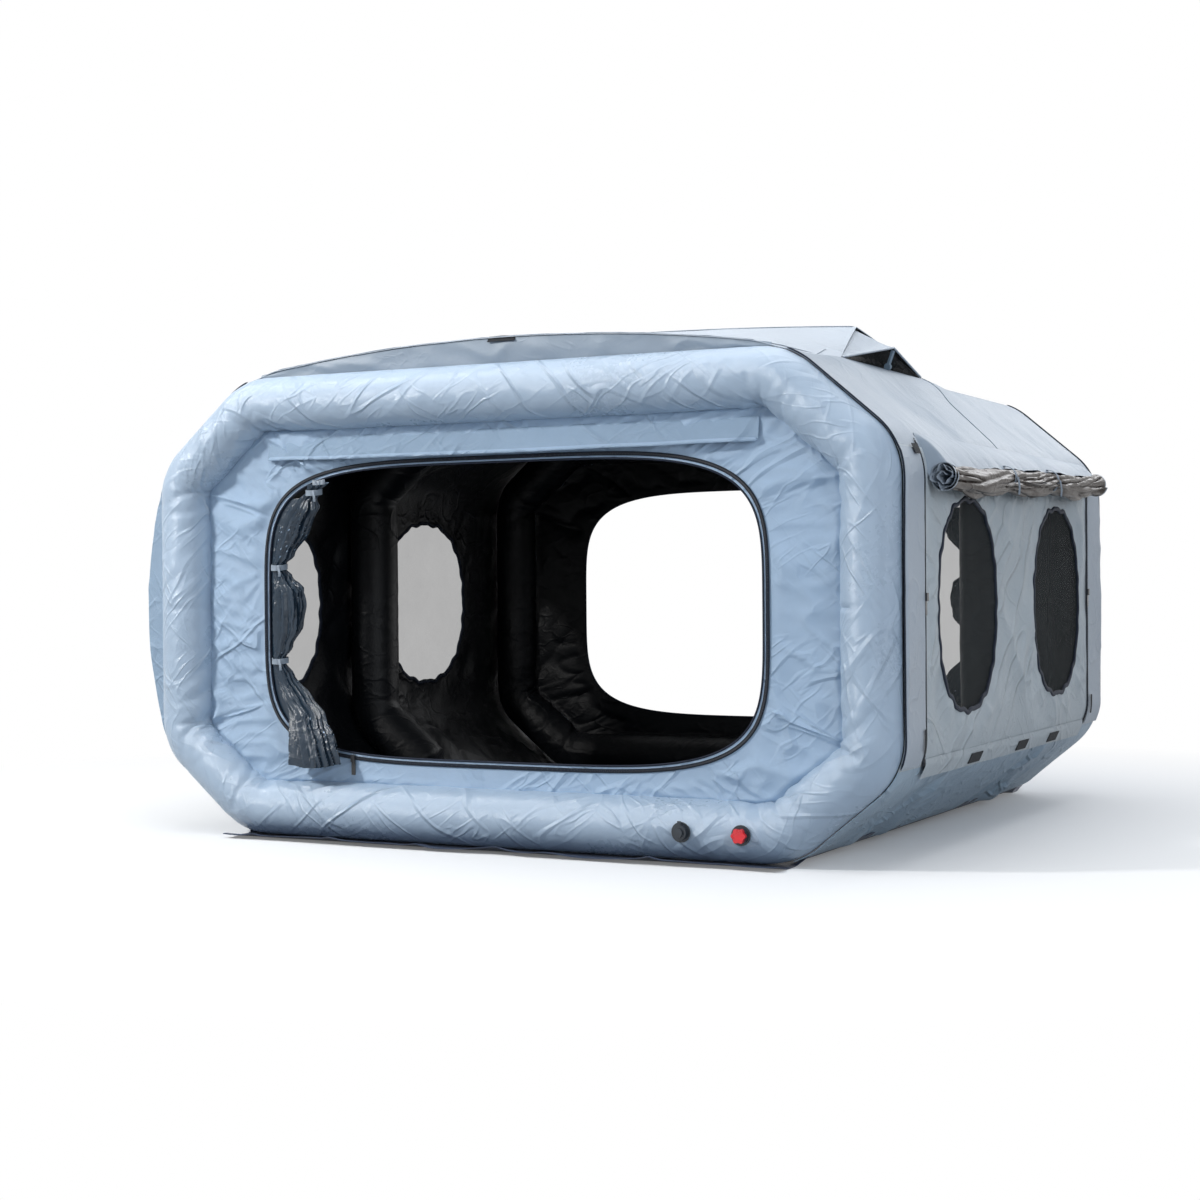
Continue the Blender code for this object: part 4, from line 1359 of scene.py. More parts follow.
        cloth(
            f"{title}_net", (96, 14), net, (1, 1), [self.finishes.net], 0, "window_mesh",
            [f"{title}_mesh"], "stretched", [f"{self.side.title}_wall_cloth"], area=window.area,
            cut=(2 * window.half[0], 2 * window.half[1]), towards=self.out_way, closed=True,
        )

        def edge(share: float) -> Vector:
            """The window's edge."""
            angle = share * FULL_TURN
            reach = window.reach(angle % FULL_TURN)
            y = window.y + math.cos(angle) * reach
            return self.point(self.middle + math.sin(angle) * reach, y, -0.0005)

        track = framed(edge, lambda share: self.out_way, 0.002)
        ribbon(
            f"{title}_binding", track, (0.0085, 0.0052), 220, True, self.finishes.binding,
            "binding", f"{title}_piping",
        )

    def zip_path(self, share: float) -> Vector:
        """The cover zip's line: down the front, along the bottom and up the rear.

        Args:
            share: Share of its length.

        Returns:
            The point.
        """
        upright = self.zip_top - self.zip_bottom - self.zip_corner
        arc = self.zip_corner * math.pi / 2
        flat = 2 * (self.zip_y - self.zip_corner)
        total = 2 * upright + 2 * arc + flat
        gone = min(share, 1 - share) * total
        if gone < upright:
            y, z = self.zip_y, self.zip_top - gone
        elif gone < upright + arc:
            angle = (gone - upright) / self.zip_corner
            y = self.zip_y - self.zip_corner * (1 - math.cos(angle))
            z = self.zip_bottom + self.zip_corner * (1 - math.sin(angle))
        else:
            y, z = self.zip_y - self.zip_corner - (gone - upright - arc), self.zip_bottom
        run = self.middle + (z - self.window_z)
        bend = fade(abs(z - self.window_z), 0.35, 0.5)
        return self.point(run, y if share > 0.5 else -y, 0.0022 + 0.001 * bend)

    def zip(self) -> None:
        """Make the cover zip's tape and teeth."""
        track = framed(self.zip_path, lambda share: self.out_way, 0.002)
        title = f"{self.side.title}_cover"
        self.zipper(title, track, (0.0105, 0.0014), (300, 760), False, 0.0024, 0.0019)

    def margin(self, end: End) -> None:
        """Make the cover's margin between a ring and the zip.

        Args:
            end: Which ring.
        """
        start, length = self.knee + 0.005, self.hip - self.knee - 0.010
        bulge = self.bulge if end is End.FRONT else 0.006
        near, far = self.zip_y + 0.009, RING_Y + 0.004

        def place(along: float, out: float) -> Vector:
            """A point on the margin, which folds back to the ring past its widest line."""
            run = start + along * length
            hump = max(0.0, arch(along)) ** 0.75
            rise = min(1.0, out / self.hem_share)
            back = max(0.0, out - self.hem_share) / (1 - self.hem_share)
            swell = hump * bulge * (rise**1.4 - back**1.2)
            y = end.value * (near + (far - near) * rise + 0.010 * back * hump)
            waves = crease(along * 5, out * 0.8, 61 + end.value) * 0.004 * rise
            waves += 0.0022 * rumple(along * 9, out * 2, 67)
            return self.point(run, y, 0.0042 + swell + abs(waves) * (1 - 0.8 * back))

        title = f"{self.side.title}_{end.title}_margin"
        # The left margins take the panel's cloth painted darker, as painted shade; the right ones
        # take the roof's cloth.
        outer = self.finishes.flap if self.side is Side.LEFT else self.finishes.roof
        cloth(
            title, (110, 22), place, (length, far - near), (outer, self.finishes.lining), 0.0016,
            "cover_cloth", [], "stretched", [f"{self.side.title}_wall_cloth"],
            towards=self.out_way,
        )

        def edge(share: float) -> Vector:
            """The binding's line: the margin's free edge, then the slope's edge."""
            if share < 0.62:
                return place(share / 0.62, 1.0)
            run = self.hip + (share - 0.62) / 0.38 * (self.top - self.hip)
            return self.point(run, end.value * far, 0.002)

        def out(share: float) -> Vector:
            """The way out of the skin at the binding."""
            here = edge(share)
            return Vector((here.x, 0, here.z - MIDDLE.z)).normalized()

        ribbon(
            f"{title}_binding", framed(edge, out, 0.004), (0.0028, 0.0030), 150, False,
            self.finishes.binding, "binding",
        )

    def seam(self) -> None:
        """Make the seam down the roof slope, from the vent's rear end to the wall."""
        start, stop = RIDGE_Y + VENT_HALF, RIDGE_Y + 0.275

        def line(share: float) -> Vector:
            """The seam's line."""
            run = self.top + (self.hip - self.top) * share
            y = start + (stop - start) * share
            edge = fade(min(share, 1 - share) * (self.top - self.hip), 0.0, 0.05)
            lift = corner_lift(y) * fade(run, self.top - 0.14, self.top)
            ease = edge * self.ease(run, y, SLOPE_FOLDS, len("roof_slope"))
            return self.point(run, y, ease + lift + 0.0008)

        middle = line(0.5)
        out = Vector((middle.x, 0, middle.z - MIDDLE.z)).normalized()
        # The seam takes the cover's cloth painted darker, as painted shade.
        ribbon(
            f"{self.side.title}_slope_seam", framed(line, lambda share: out, 0.004),
            (0.006, 0.0014), 90, False, self.finishes.slope, "cover_cloth",
        )

    def hem(self) -> None:
        """Make the wall's hem, folded double, which hangs over the foot of the zip."""
        half = self.zip_y - 0.035
        foot = self.middle + self.zip_bottom - self.window_z

        def place(along: float, down: float) -> Vector:
            """A point on the hem."""
            y = (2 * along - 1) * half
            wave = 0.0012 * rumple(y * 7, down, 71)
            lift = 0.0028 + 0.0066 * fade(down, 0.0, 0.3) + 0.0030 * down**2 + wave * down
            return self.point(foot + 0.020 - 0.036 * down, y, lift)

        # The hem takes the wall's cloth, the cover's cloth painted lighter as painted light.
        cloth(
            f"{self.side.title}_wall_hem", (160, 8), place, (2 * half, 0.076),
            [self.finishes.wall] * 2, 0.0014, "cover_cloth", [], "hung",
            [f"{self.side.title}_wall_cloth"], towards=self.out_way,
        )

    def tab(self, number: int, y: float, z: float, size: tuple[float, float]) -> None:
        """Make one dark webbing tab on the wall.

        Args:
            number: Its number.
            y: Place along the tent.
            z: Height of its top.
            size: Its width and length.
        """
        run = self.middle + z - self.window_z

        def place(along: float, down: float) -> Vector:
            """A point on the tab."""
            lift = 0.0125 + 0.002 * down**2
            return self.point(run - down * size[1], y + (along - 0.5) * size[0], lift)

        cloth(
            f"{self.side.title}_tab_{number}", (4, 8), place, size, [self.finishes.dark_webbing],
            0.0018, "webbing", [], "hung", [f"{self.side.title}_wall_cloth"],
            cut=(size[0] + 0.004, size[1] * 1.25), towards=self.out_way,
        )

    def build(self) -> None:
        """Make everything on this side."""
        finishes = self.finishes
        # The roof slopes take the cover's cloth painted darker, as painted shade.
        self.slope("roof_slope", self.hip, self.top, SLOPE_FOLDS, finishes.slope)
        self.slope("bottom_slope", self.low, self.knee, 0.0250, finishes.base)
        self.seam()
        self.wall()
        for window, end in zip(self.windows, End):
            self.window(window, end)
            self.margin(end)
        self.zip()
        self.hem()
        foot = self.zip_bottom + 0.010
        tabs = (
            (-1.052, 0.43, 0.016, 0.050),
            (-0.440, foot, 0.130, 0.020),
            (0.135, foot, 0.130, 0.020),
            (0.560, foot, 0.130, 0.020),
            (1.052, 0.43, 0.016, 0.050),
            (-1.080, 1.275, 0.055, 0.018),
        )
        for number, (y, z, width, length) in enumerate(tabs):
            self.tab(number, y, z, (width, length))


@dataclass
class FlyRoof(Maker):
    """The fly roof, the gable under its arched front edge, and a vent at each end of its ridge."""

    crown: float = 0.083  # how high its front edge arches
    ridge_y: float = RIDGE_Y
    ridge_half: float = VENT_HALF
    end_rise: float = 0.145  # height of the ridge at its ends
    middle_rise: float = 0.182  # height of the ridge in its middle
    inset: float = 0.100  # how far its edge draws in at the ridge
    visor_reach: float = 0.038  # how far the visor's tip stands out
    visor_rise: float = 0.069
    corner_x: float = 1.04798  # where the ring's top corner is, to which the rises are drawn

    def share(self, y: float, half: float) -> float:
        """How far up the ridge's slope a place lies."""
        return max(0.0, 1 - abs(y - self.ridge_y) / half)

    def edge_x(self, y: float) -> float:
        """How far out the roof reaches at a place along the tent.

        Args:
            y: Place along the tent.

        Returns:
            The edge's X.
        """
        reach = self.outline.at(self.outline.bends[3])
        edge = reach.x + reach.out_x * SKIN_OUT
        top = self.corner_x - self.inset
        share = self.share(y, self.ridge_half)
        return edge + (top - edge) * share

    def height(self, x: float, y: float) -> float:
        """Height of the roof's top side, before its wrinkles.

        Args:
            x: Place across the tent.
            y: Place along the tent.

        Returns:
            The height in metres.
        """
        out = min(1.0, abs(x) / self.corner_x)
        to_rear = (y + RING_Y) / (2 * RING_Y)
        crown = self.crown * (1 - out**2) * (1 - to_rear)
        ridge = self.middle_rise + (self.end_rise - self.middle_rise) * out**2
        far = self.ridge_y + RING_Y if y < self.ridge_y else RING_Y - self.ridge_y
        half = far + (self.ridge_half - far) * out
        return RING_TOP_Z + 0.0042 + crown + (ridge - crown) * self.share(y, half)

    def turn_down(self, x: float, y: float) -> float:
        """How far the roof's edge follows the ring's corner downwards.

        Args:
            x: Place across the tent.
            y: Place along the tent.

        Returns:
            Metres down.
        """
        corner = self.outline.at(self.outline.bends[3])
        drop = RING_TOP_Z + 0.0045 - (corner.z + corner.out_z * SKIN_OUT)
        near = fade(abs(x), 0.90, self.edge_x(RING_Y)) ** 1.3
        held = corner_lift(y) * corner.out_z
        return (drop - held) * near * (1 - self.share(y, self.ridge_half)) ** 0.7

    def wrinkle(self, x: float, y: float) -> float:
        """The wrinkles of the roof's cloth.

        Args:
            x: Place across the tent.
            y: Place along the tent.

        Returns:
            Their height in metres.
        """
        span = 1 - self.share(y, 0.25)
        edge = fade(self.edge_x(y) - abs(x), 0.0, 0.10)
        rings = fade(RING_Y - abs(y), 0.0, 0.16)
        long = crease(x * 1.7 + y * 0.7, y * 0.5 - x * 0.3, 71) * 0.005
        short = rumple(x * 6 - y * 2, y * 3 + x, 73) * 0.0022
        sag = 0.010 * arch(min(1.0, abs(y) / RING_Y)) ** 2 * (1 - (x / 1.05) ** 2)
        ring_folds = crease(x * 9, y * 2.0, 79) * 0.0035 * (1 - rings)
        return edge * (span * rings * (long - sag) + short + ring_folds * rings**0.2)

    def roof(self) -> None:
        """Make the roof."""

        def place(along: float, across: float) -> Vector:
            """A point on the roof."""
            y = (2 * across - 1) * RING_Y
            x = (2 * along - 1) * self.edge_x(y)
            z = self.height(x, y) - self.turn_down(x, y)
            return Vector((x, y, z + self.wrinkle(x, y)))

        cloth(
            "roof_cloth", (150, 178), place, (2.22, 2.46),
            (self.finishes.roof, self.finishes.lining), SKIN_WALL, "cover_cloth", ["roof_cover"],
            "stretched", RINGS, towards=UP,
        )

    def seam(self, name: str, path: Callable[[float], Vector], half: float) -> None:
        """Make a felled seam, a strip of the roof's cloth, along a path."""
        track = framed(path, lambda share: UP, 0.004)
        ribbon(name, track, (half, 0.0016), 110, False, self.finishes.roof, "cover_cloth")

    def seams(self) -> None:
        """Make the seams: along the ridge, the front edge's hem and the sides."""
        seam_x = 0.965

        def ridge(share: float) -> Vector:
            """Along the ridge."""
            x = (2 * share - 1) * self.edge_x(self.ridge_y) * 0.995
            return Vector((x, self.ridge_y, self.height(x, self.ridge_y) + 0.0012))

        def hem(share: float) -> Vector:
            """Along the front edge."""
            x = (2 * share - 1) * 0.93
            y = 0.012 - RING_Y
            return Vector((x, y, self.height(x, y) + self.wrinkle(x, y) + 0.0008))

        self.seam("ridge_seam", ridge, 0.007)
        self.seam("front_hem", hem, 0.011)
        for end, start, stop in (("rear", 0.19, 1.20), ("front", -0.68, -1.20)):
            for side in Side:

                def run(share: float) -> Vector:
                    """Along the roof's side."""
                    y = start + (stop - start) * share
                    x = side.value * seam_x
                    z = self.height(x, y) - self.turn_down(x, y)
                    return Vector((x, y, z + self.wrinkle(x, y) + 0.0008))

                self.seam(f"{side.title}_{end}_roof_seam", run, 0.006)

    def gable(self) -> None:
        """Make the gable between the front ring and the roof's arched edge."""
        half = 0.99

        def place(along: float, up: float) -> Vector:
            """A point on the gable."""
            x = (2 * along - 1) * half
            low = RING_TOP_Z - 0.004
            high = self.height(x, -RING_Y) - 0.0035
            bow = 0.006 * rumple(x * 5, up, 83) * arch(up)
            folds = 0.007 * crease(x * 6 + up * 0.4, up * 0.5, 89) * arch(up)
            return Vector((x, 0.004 - RING_Y + bow - folds, low + (max(high, low) - low) * up))

        # The gable takes the cover's cloth painted darker, as painted shade under the roof's
        # arched edge.
        cloth(
            "gable_cloth", (150, 8), place, (2 * half, 0.085),
            (self.finishes.slope, self.finishes.lining), 0.002, "cover_cloth", ["front_gable"],
            "stretched", ["front_sleeve", "roof_cloth"], area=2 * half * 0.060, towards=AHEAD,
        )

        def tab(along: float, across: float) -> Vector:
            """A point on the dark webbing tab over the front edge."""
            x = -0.043 + 0.105 * along
            y = -RING_Y - 0.006 + 0.055 * across
            drop = 0.020 * (1 - fade(across, 0.0, 0.3))
            return Vector((x, y, self.height(x, y) + 0.0050 - drop))

        cloth(
            "front_tab", (10, 8), tab, (0.105, 0.055), [self.finishes.dark_webbing], 0.002,
            "webbing", [], "laid", ["roof_cloth"], cut=(0.105, 0.065), towards=UP,
        )

    def visor(self, side: Side) -> None:
        """Make one vent: its visor, its piping and its net.

        Args:
            side: Which side.
        """
        sign = side.value
        outline = self.outline
        foot = outline.point(outline.bends[3], SKIN_OUT + corner_lift(self.ridge_y) + 0.001, 0)
        near = Vector((foot.x, self.ridge_y - self.ridge_half, foot.z + 0.001))
        far = Vector((foot.x, self.ridge_y + self.ridge_half, foot.z + 0.001))
        middle = (near + far) / 2
        peak_x = self.edge_x(self.ridge_y) - 0.004
        peak = Vector((peak_x, self.ridge_y, self.height(peak_x, self.ridge_y) + 0.0012))
        tip = Vector(
            (self.corner_x + self.visor_reach, self.ridge_y, RING_TOP_Z + 0.004 + self.visor_rise)
        )

        def bent(first: Vector, knee: Vector, last: Vector, share: float) -> Vector:
            """A point on a line with one knee."""
            if share < 0.5:
                return first.lerp(knee, share * 2)
            return knee.lerp(last, share * 2 - 1)

        def mirrored(point: Vector) -> Vector:
            """A point on the vent's own side."""
            return Vector((point.x * sign, point.y, point.z))

        def hood(along: float, out: float) -> Vector:
            """A point on the visor."""
            tuck = fade(arch(along), 0.0, 0.25)
            first = bent(near, peak, far, along)
            first.x -= 0.018 * tuck
            under = self.height(first.x, first.y) - self.turn_down(first.x, first.y) - 0.0042
            first.z += (under - first.z) * tuck
            made = first.lerp(bent(near, tip, far, along), out)
            belly = arch(out) * arch(along)
            fold = 0.004 * rumple(along * 7, out * 2, 91) * belly
            made.z += fold - 0.004 * belly
            return mirrored(made)

        def net(along: float, down: float) -> Vector:
            """A point on the net under the visor."""
            top = bent(near, tip, far, 0.04 + 0.92 * along) + Vector((-0.030, 0, -0.007))
            low = near.lerp(far, 0.04 + 0.92 * along) + Vector((-0.012, 0, 0.002))
            made = top.lerp(low, down)
            folds = crease(along * 9, down * 1.4, 97) * arch(down)
            made.x -= 0.010 * folds * arch(along)
            made.x -= 0.020 * arch(down) * arch(along)
            return mirrored(made)

        word = side.title
        rests = ["roof_cloth"]
        cloth(
            f"{word}_visor_cloth", (60, 14), hood, (0.90, 0.15),
            (self.finishes.roof, self.finishes.lining), 0.0022, "cover_cloth",
            [f"{word}_vent_visor"], "stretched", rests, area=0.068, towards=UP,
        )
        up_out = Vector((sign * 0.4, 0, 0.9)).normalized()
        track = framed(lambda share: hood(share, 1.0), lambda share: up_out, 0.004)
        ribbon(
            f"{word}_visor_piping", track, (0.0045, 0.0036), 80, False, self.finishes.roof,
            "cover_cloth",
        )
        flat, out = (0.80, 0.08), Vector((sign, 0, 0))
        cloth(
            f"{word}_vent_net", (70, 12), net, flat, [self.finishes.net], 0, "window_mesh",
            [f"{word}_vent_mesh"], "stretched", rests, area=0.045, towards=out,
        )

        def throat(along: float, down: float) -> Vector:
            """A point on the dark cloth behind the net, which closes the vent's ends."""
            top = hood(along, 0.66) + Vector((0, 0, -0.004))
            low = mirrored(near.lerp(far, along) + Vector((-0.007, 0, -0.014)))
            made = top.lerp(low, down)
            made.x -= sign * 0.020 * arch(along) * arch(down)
            return made

        cloth(
            f"{word}_vent_lining", (40, 8), throat, flat, [self.finishes.lining], 0.001,
            "lining_cloth", [], "stretched", rests, area=0.045, towards=out,
        )

    def build(self) -> None:
        """Make the roof, its seams, the gable and both vents."""
        self.roof()
        self.seams()
        self.gable()
        for side in Side:
            self.visor(side)


@dataclass
class EndPanel(Maker):
    """One end: the panel in its ring, the doorway's zip, and the door rolled to its edge."""

    end: End
    door_half: tuple[float, float] = (0.957, 0.507)
    door_z: float = 0.800
    roundness: float = 4.5  # power of its rounded outline
    standoff: float = 0.017  # from the doorway's edge to the zip's middle
    roll_half: tuple[float, float] = (0.085, 0.040)  # half the rolled door's width and depth
    roll_ease: float = 0.016  # how far the roll draws in at its ends
    shoulder: float = 0.014  # how far a tie's edge may be from its middle
    turns: float = 4.0
    waist: float = 0.0323  # half the room that the roll needs beside the doorway's edge

    # Shares of the doorway's height where the ties are, and the roll's width at others
    TIES = (0.33, 0.66, 0.92)
    ROLL = (
        (-0.020, 1.42), (0.060, 1.26), (0.130, 1.08), (0.200, 0.90), (0.280, 0.56),
        (0.330, 0.32), (0.380, 0.62), (0.450, 0.92), (0.520, 1.00), (0.580, 0.92),
        (0.625, 0.58), (0.660, 0.32), (0.700, 0.60), (0.780, 0.88), (0.860, 0.84),
        (0.905, 0.50), (0.925, 0.36), (0.950, 0.60),
    )

    def __post_init__(self) -> None:
        """Work out the end's place and the way it faces."""
        self.y = self.end.value * RING_Y
        self.face = Vector((0, self.end.value, 0))
        self.hand = -self.end.value

    def across(self, x: float) -> float:
        """X as seen from outside this end, with the rolled door on the left."""
        return x * self.hand

    def doorway(self, share: float, grow: float) -> Vector:
        """A point on the doorway's edge.

        Args:
            share: Share of a turn.
            grow: How far outside the edge.

        Returns:
            The point, with Y on the panel.
        """
        angle = share * FULL_TURN
        power = 2 / self.roundness
        x = (self.door_half[0] + grow) * signed(math.cos(angle), power)
        z = (self.door_half[1] + grow) * signed(math.sin(angle), power)
        return Vector((self.across(x), self.y, self.door_z + z))

    def ripple(self, spot: Vector, gap: float, left: float, run: float) -> float:
        """How far the panel's cloth stands out.

        Args:
            spot: The point on the panel.
            gap: Metres from the doorway.
            left: Metres to the ring.
            run: Metres along the ring's line.

        Returns:
            The height in metres.
        """
        seed = 101 + self.end.value
        corner = math.exp(-((self.outline.at(run).bend / 0.20) ** 2))
        span = gap + left
        share = gap / max(0.001, span)
        rays = crease(run * 4.6, share * 0.9, seed) * (0.5 + 1.0 * corner)
        rays += 0.55 * crease(run * 10.5 + share * 0.8, share * 1.4, seed + 3)
        waves = rumple(spot.x * 3.5 + spot.z, spot.z * 3.5, seed + 5)
        small = rumple(run * 22, share * 2.5, seed + 8)
        flat = 0.026 + 0.045 * fade(self.door_z - spot.z, 0.38, 0.48)
        inside = fade(gap, flat, flat + 0.050) * fade(left, 0.0, 0.03)
        near_ring = math.exp(-left / 0.05)
        relief = 0.0125 * rays + 0.0060 * waves + 0.0030 * small * (0.4 + near_ring)
        for up in self.TIES:
            pull = Vector((spot.x, spot.z)) - self.anchor(up)
            star = crease(*(pull.normalized() * 2.3), seed + 20 * up)
            relief += 0.0130 * star * math.exp(-pull.length / 0.15)
        return relief * (0.05 + 0.95 * inside) * fade(left, -0.005, 0.012)

    def anchor(self, up: float) -> Vector:
        """Where a tie is sewn to the doorway's edge, across and up."""
        z, x = self.roll_middle(up, 0.0)
        return Vector((self.across(x), z))

    def panel(self) -> None:
        """Make the panel with its doorway."""
        outline = self.outline
        middle = Vector((0, self.door_z))

        def place(along: float, out: float) -> Vector:
            """A point on the panel."""
            run = along % 1.0 * outline.length
            rim3 = outline.point(run, 0.0120 - TUBE_RADIUS, self.y)
            rim = Vector((rim3.x, rim3.z))
            angle = math.atan2(rim.y - middle.y, rim.x - middle.x)
            reach = egg(angle, self.door_half, self.roundness)
            hole = middle + ray(angle) * reach
            spot = hole.lerp(rim, out)
            high = self.ripple(
                Vector((spot.x, 0, spot.y)), (spot - hole).length, (rim - spot).length, run
            )
            return Vector((spot.x, self.y + self.end.value * high, spot.y))

        name = f"{self.end.title}_panel"
        flat = (2.44, 1.24)
        area = flat[0] * flat[1] - PANEL_CORNERS
        area -= DOORWAY_AREA * self.door_half[0] * self.door_half[1]
        cloth(
            f"{name}_cloth", (620, 40), place, (1, 1), (self.finishes.panel, self.finishes.lining),
            0.0022, "panel_cloth", [name], "stretched", [f"{self.end.title}_sleeve"], area=area,
            cut=flat, towards=self.face, closed=True,
        )

    def zip(self) -> None:
        """Make the doorway's binding, zip tape and teeth."""
        title = f"{self.end.title}_door"

        def line(share: float) -> Vector:
            """The zip's line."""
            made = self.doorway(share, self.standoff)
            made.y += self.end.value * 0.0036
            return made

        track = framed(line, lambda share: self.face, 0.0015)
        self.zipper(title, track, (0.0068, 0.0016), (420, 1150), True, 0.0025, 0.0020)
        track = framed(lambda share: self.doorway(share, 0.001), lambda share: self.face, 0.0015)
        ribbon(
            f"{title}_binding", track, (0.0036, 0.0038), 300, True, self.finishes.binding,
            "binding",
        )

    def roll_middle(self, up: float, half_width: float) -> tuple[float, float]:
        """Where the rolled door's middle is, at a share of the doorway's height.

        Args:
            up: The share of the height.
            half_width: Half the roll's width there.

        Returns:
            Its height, and its place across as seen from outside.
        """
        rise = (2 * up - 1) * self.door_half[1]
        reach = abs(rise) / self.door_half[1]
        edge = min(1.0, (abs(rise) + self.shoulder) / self.door_half[1])
        inset = 1 - (1 - edge**self.roundness) ** (1 / self.roundness)
        drawn = inset * self.door_half[0] + reach * self.roll_ease
        return self.door_z + rise, -(self.door_half[0] - drawn - 0.0005 - half_width)

    def bundle(self, up: float) -> tuple[Vector, Vector]:
        """The rolled door's middle and half size at a share of the doorway's height.

        Args:
            up: The share of the height.

        Returns:
            The middle, and half its width and depth.
        """
        full = spread(self.ROLL, up)[0]
        half = Vector((self.roll_half[0] * full, self.roll_half[1] * max(0.50, full)))
        z = self.door_z + (2 * up - 1) * self.door_half[1]
        x = self.roll_middle(min(0.92, max(0.16, up)), max(self.waist, half.x))[1]
        spill = 1 - fade(up, -0.02, 0.26)
        y = self.y + self.end.value * 0.056 * spill
        return Vector((self.across(x + 0.050 * spill), y, z)), half

    def wound(self, name: str, span: tuple[float, float], turns: float, reach: float) -> None:
        """Make one sheet wound on itself, gathered at the ties.

        Args:
            name: Its name.
            span: Its lowest and highest share of the doorway's height.
            turns: How often it is wound.
            reach: Share of the roll's half size that it fills.
        """
        core = reach < 0.8

        def place(along: float, wound: float) -> Vector:
            """A point on the sheet."""
            up = span[0] + (span[1] - span[0]) * along
            middle, half = self.bundle(up)
            angle = wound**0.8 * turns * FULL_TURN + 0.8 * math.sin(up * 9)
            turn = ray(angle)
            lobes = rumple(turn.x * 1.5 + 9, turn.y * 1.5 + up * 2.2, 111)
            pleats = crease(turn.x * 3.3 + up * 1.4, turn.y * 3.3 - up * 0.9, 113)
            small = crease(turn.x * 6.1 - up * 2.0, turn.y * 6.1 + up * 1.2, 117)
            ripple = 1 + 0.15 * lobes - 0.32 * pleats - 0.12 * small
            size = reach * ((0.30 if core else 0.62) + (0.70 if core else 0.38) * wound**0.8)
            x = middle.x + turn.x * half.x * size * ripple
            y = middle.y + turn.y * half.y * size * ripple
            return Vector((x, y, middle.z + 0.012 * math.sin(angle) * half.x / self.roll_half[0]))

        counts = (60, 120) if core else (100, 260)
        looks = self.finishes
        pair = (looks.roof, looks.roof) if core else (looks.door, looks.panel)
        centre = Vector((self.across(-0.87), self.y, self.door_z))
        piece = sheet(shaped(name, *counts, place, (1, 1)), pair, 0.0007, away_from=centre)
        nodes = [] if core else [f"{self.end.title}_rolled_door"]
        rides(piece, "rolled_door", *nodes)
        length = (span[1] - span[0]) * 2 * self.door_half[1] * DOOR_GATHER
        cut_size(piece, length)

    def rolled_door(self) -> None:
        """Make the rolled door, its pale core's ends and the strip that joins it to the edge."""
        title = self.end.title
        first, last = self.ROLL[0][0], self.ROLL[-1][0]
        self.wound(f"{title}_door_roll", (first, last), self.turns, 0.95)
        self.wound(f"{title}_door_core", (last - 0.03, last + 0.016), 2.2, 0.62)

        def strip(along: float, out: float) -> Vector:
            """A point on the strip between the doorway's edge and the roll."""
            up = 0.055 + 0.845 * along
            rise = abs(2 * up - 1)
            edge = self.door_half[0] * (1 - rise**self.roundness) ** (1 / self.roundness)
            middle = self.bundle(up)[0]
            start = Vector((self.across(-edge - 0.002), self.y, middle.z))
            made = start.lerp(middle, out)
            fold = crease(up * 9, out, 151) * arch(out)
            made.y += self.end.value * (0.004 * fold - 0.004 * (1 - out))
            return made

        length = 0.95
        piece = shaped(f"{title}_door_strip", 110, 8, strip, (length, 0.09))
        piece = sheet(piece, [self.finishes.door] * 2, 0.0010, towards=self.face)
        rides(piece, "rolled_door")
        cut_size(piece, length)

    def tie(self, part: str) -> None:
        """Make one of the rolled door's ties: a loop of webbing and its tail.

        Args:
            part: Which one.
        """
        node = f"{self.end.title}_door_{part}_tie"
        low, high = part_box(node)
        middle, half = (low + high) / 2, (high - low) / 2

        def loop(around: float, up: float) -> Vector:
            """A point on the loop."""
            angle = around * FULL_TURN
            wave = 0.0012 * math.sin(5 * angle)
            z = middle.z + (up - 0.5) * 2 * half.z + 0.004 * math.sin(angle)
            x = middle.x + math.cos(angle) * (half.x - 0.0004 + wave)
            return Vector((x, middle.y + math.sin(angle) * (half.y - 0.0004), z))

        def tail(along: float, down: float) -> Vector:
            """A point on the tail."""
            shift = self.across(0.012) + (along - 0.5) * 0.010 + 0.010 * math.sin(down * 2.4)
            lift = 0.001 + 0.006 * arch(down)
            y = middle.y + self.end.value * (half.y + lift)
            return Vector((middle.x + shift, y, middle.z + 0.005 - down * 0.040))

        webbing = [self.finishes.webbing]
        cloth(
            f"{node}_loop", (48, 5), loop, (0.18, 2 * half.z), webbing, 0.0016, "webbing", [node],
            "stretched", [f"{self.end.title}_door_roll"], away_from=middle, closed=True,
        )
        cloth(
            f"{node}_tail", (4, 14), tail, (0.012, 0.046), webbing, 0.0012, "webbing", [],
            "hung", [f"{node}_loop"], towards=self.face,
        )

    def build(self) -> None:
        """Make the panel, its zip, the rolled door and its ties."""
        self.panel()
        self.zip()
        self.rolled_door()
        for part in ("lower", "middle", "upper"):
            if f"{self.end.title}_door_{part}_tie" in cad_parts:
                self.tie(part)


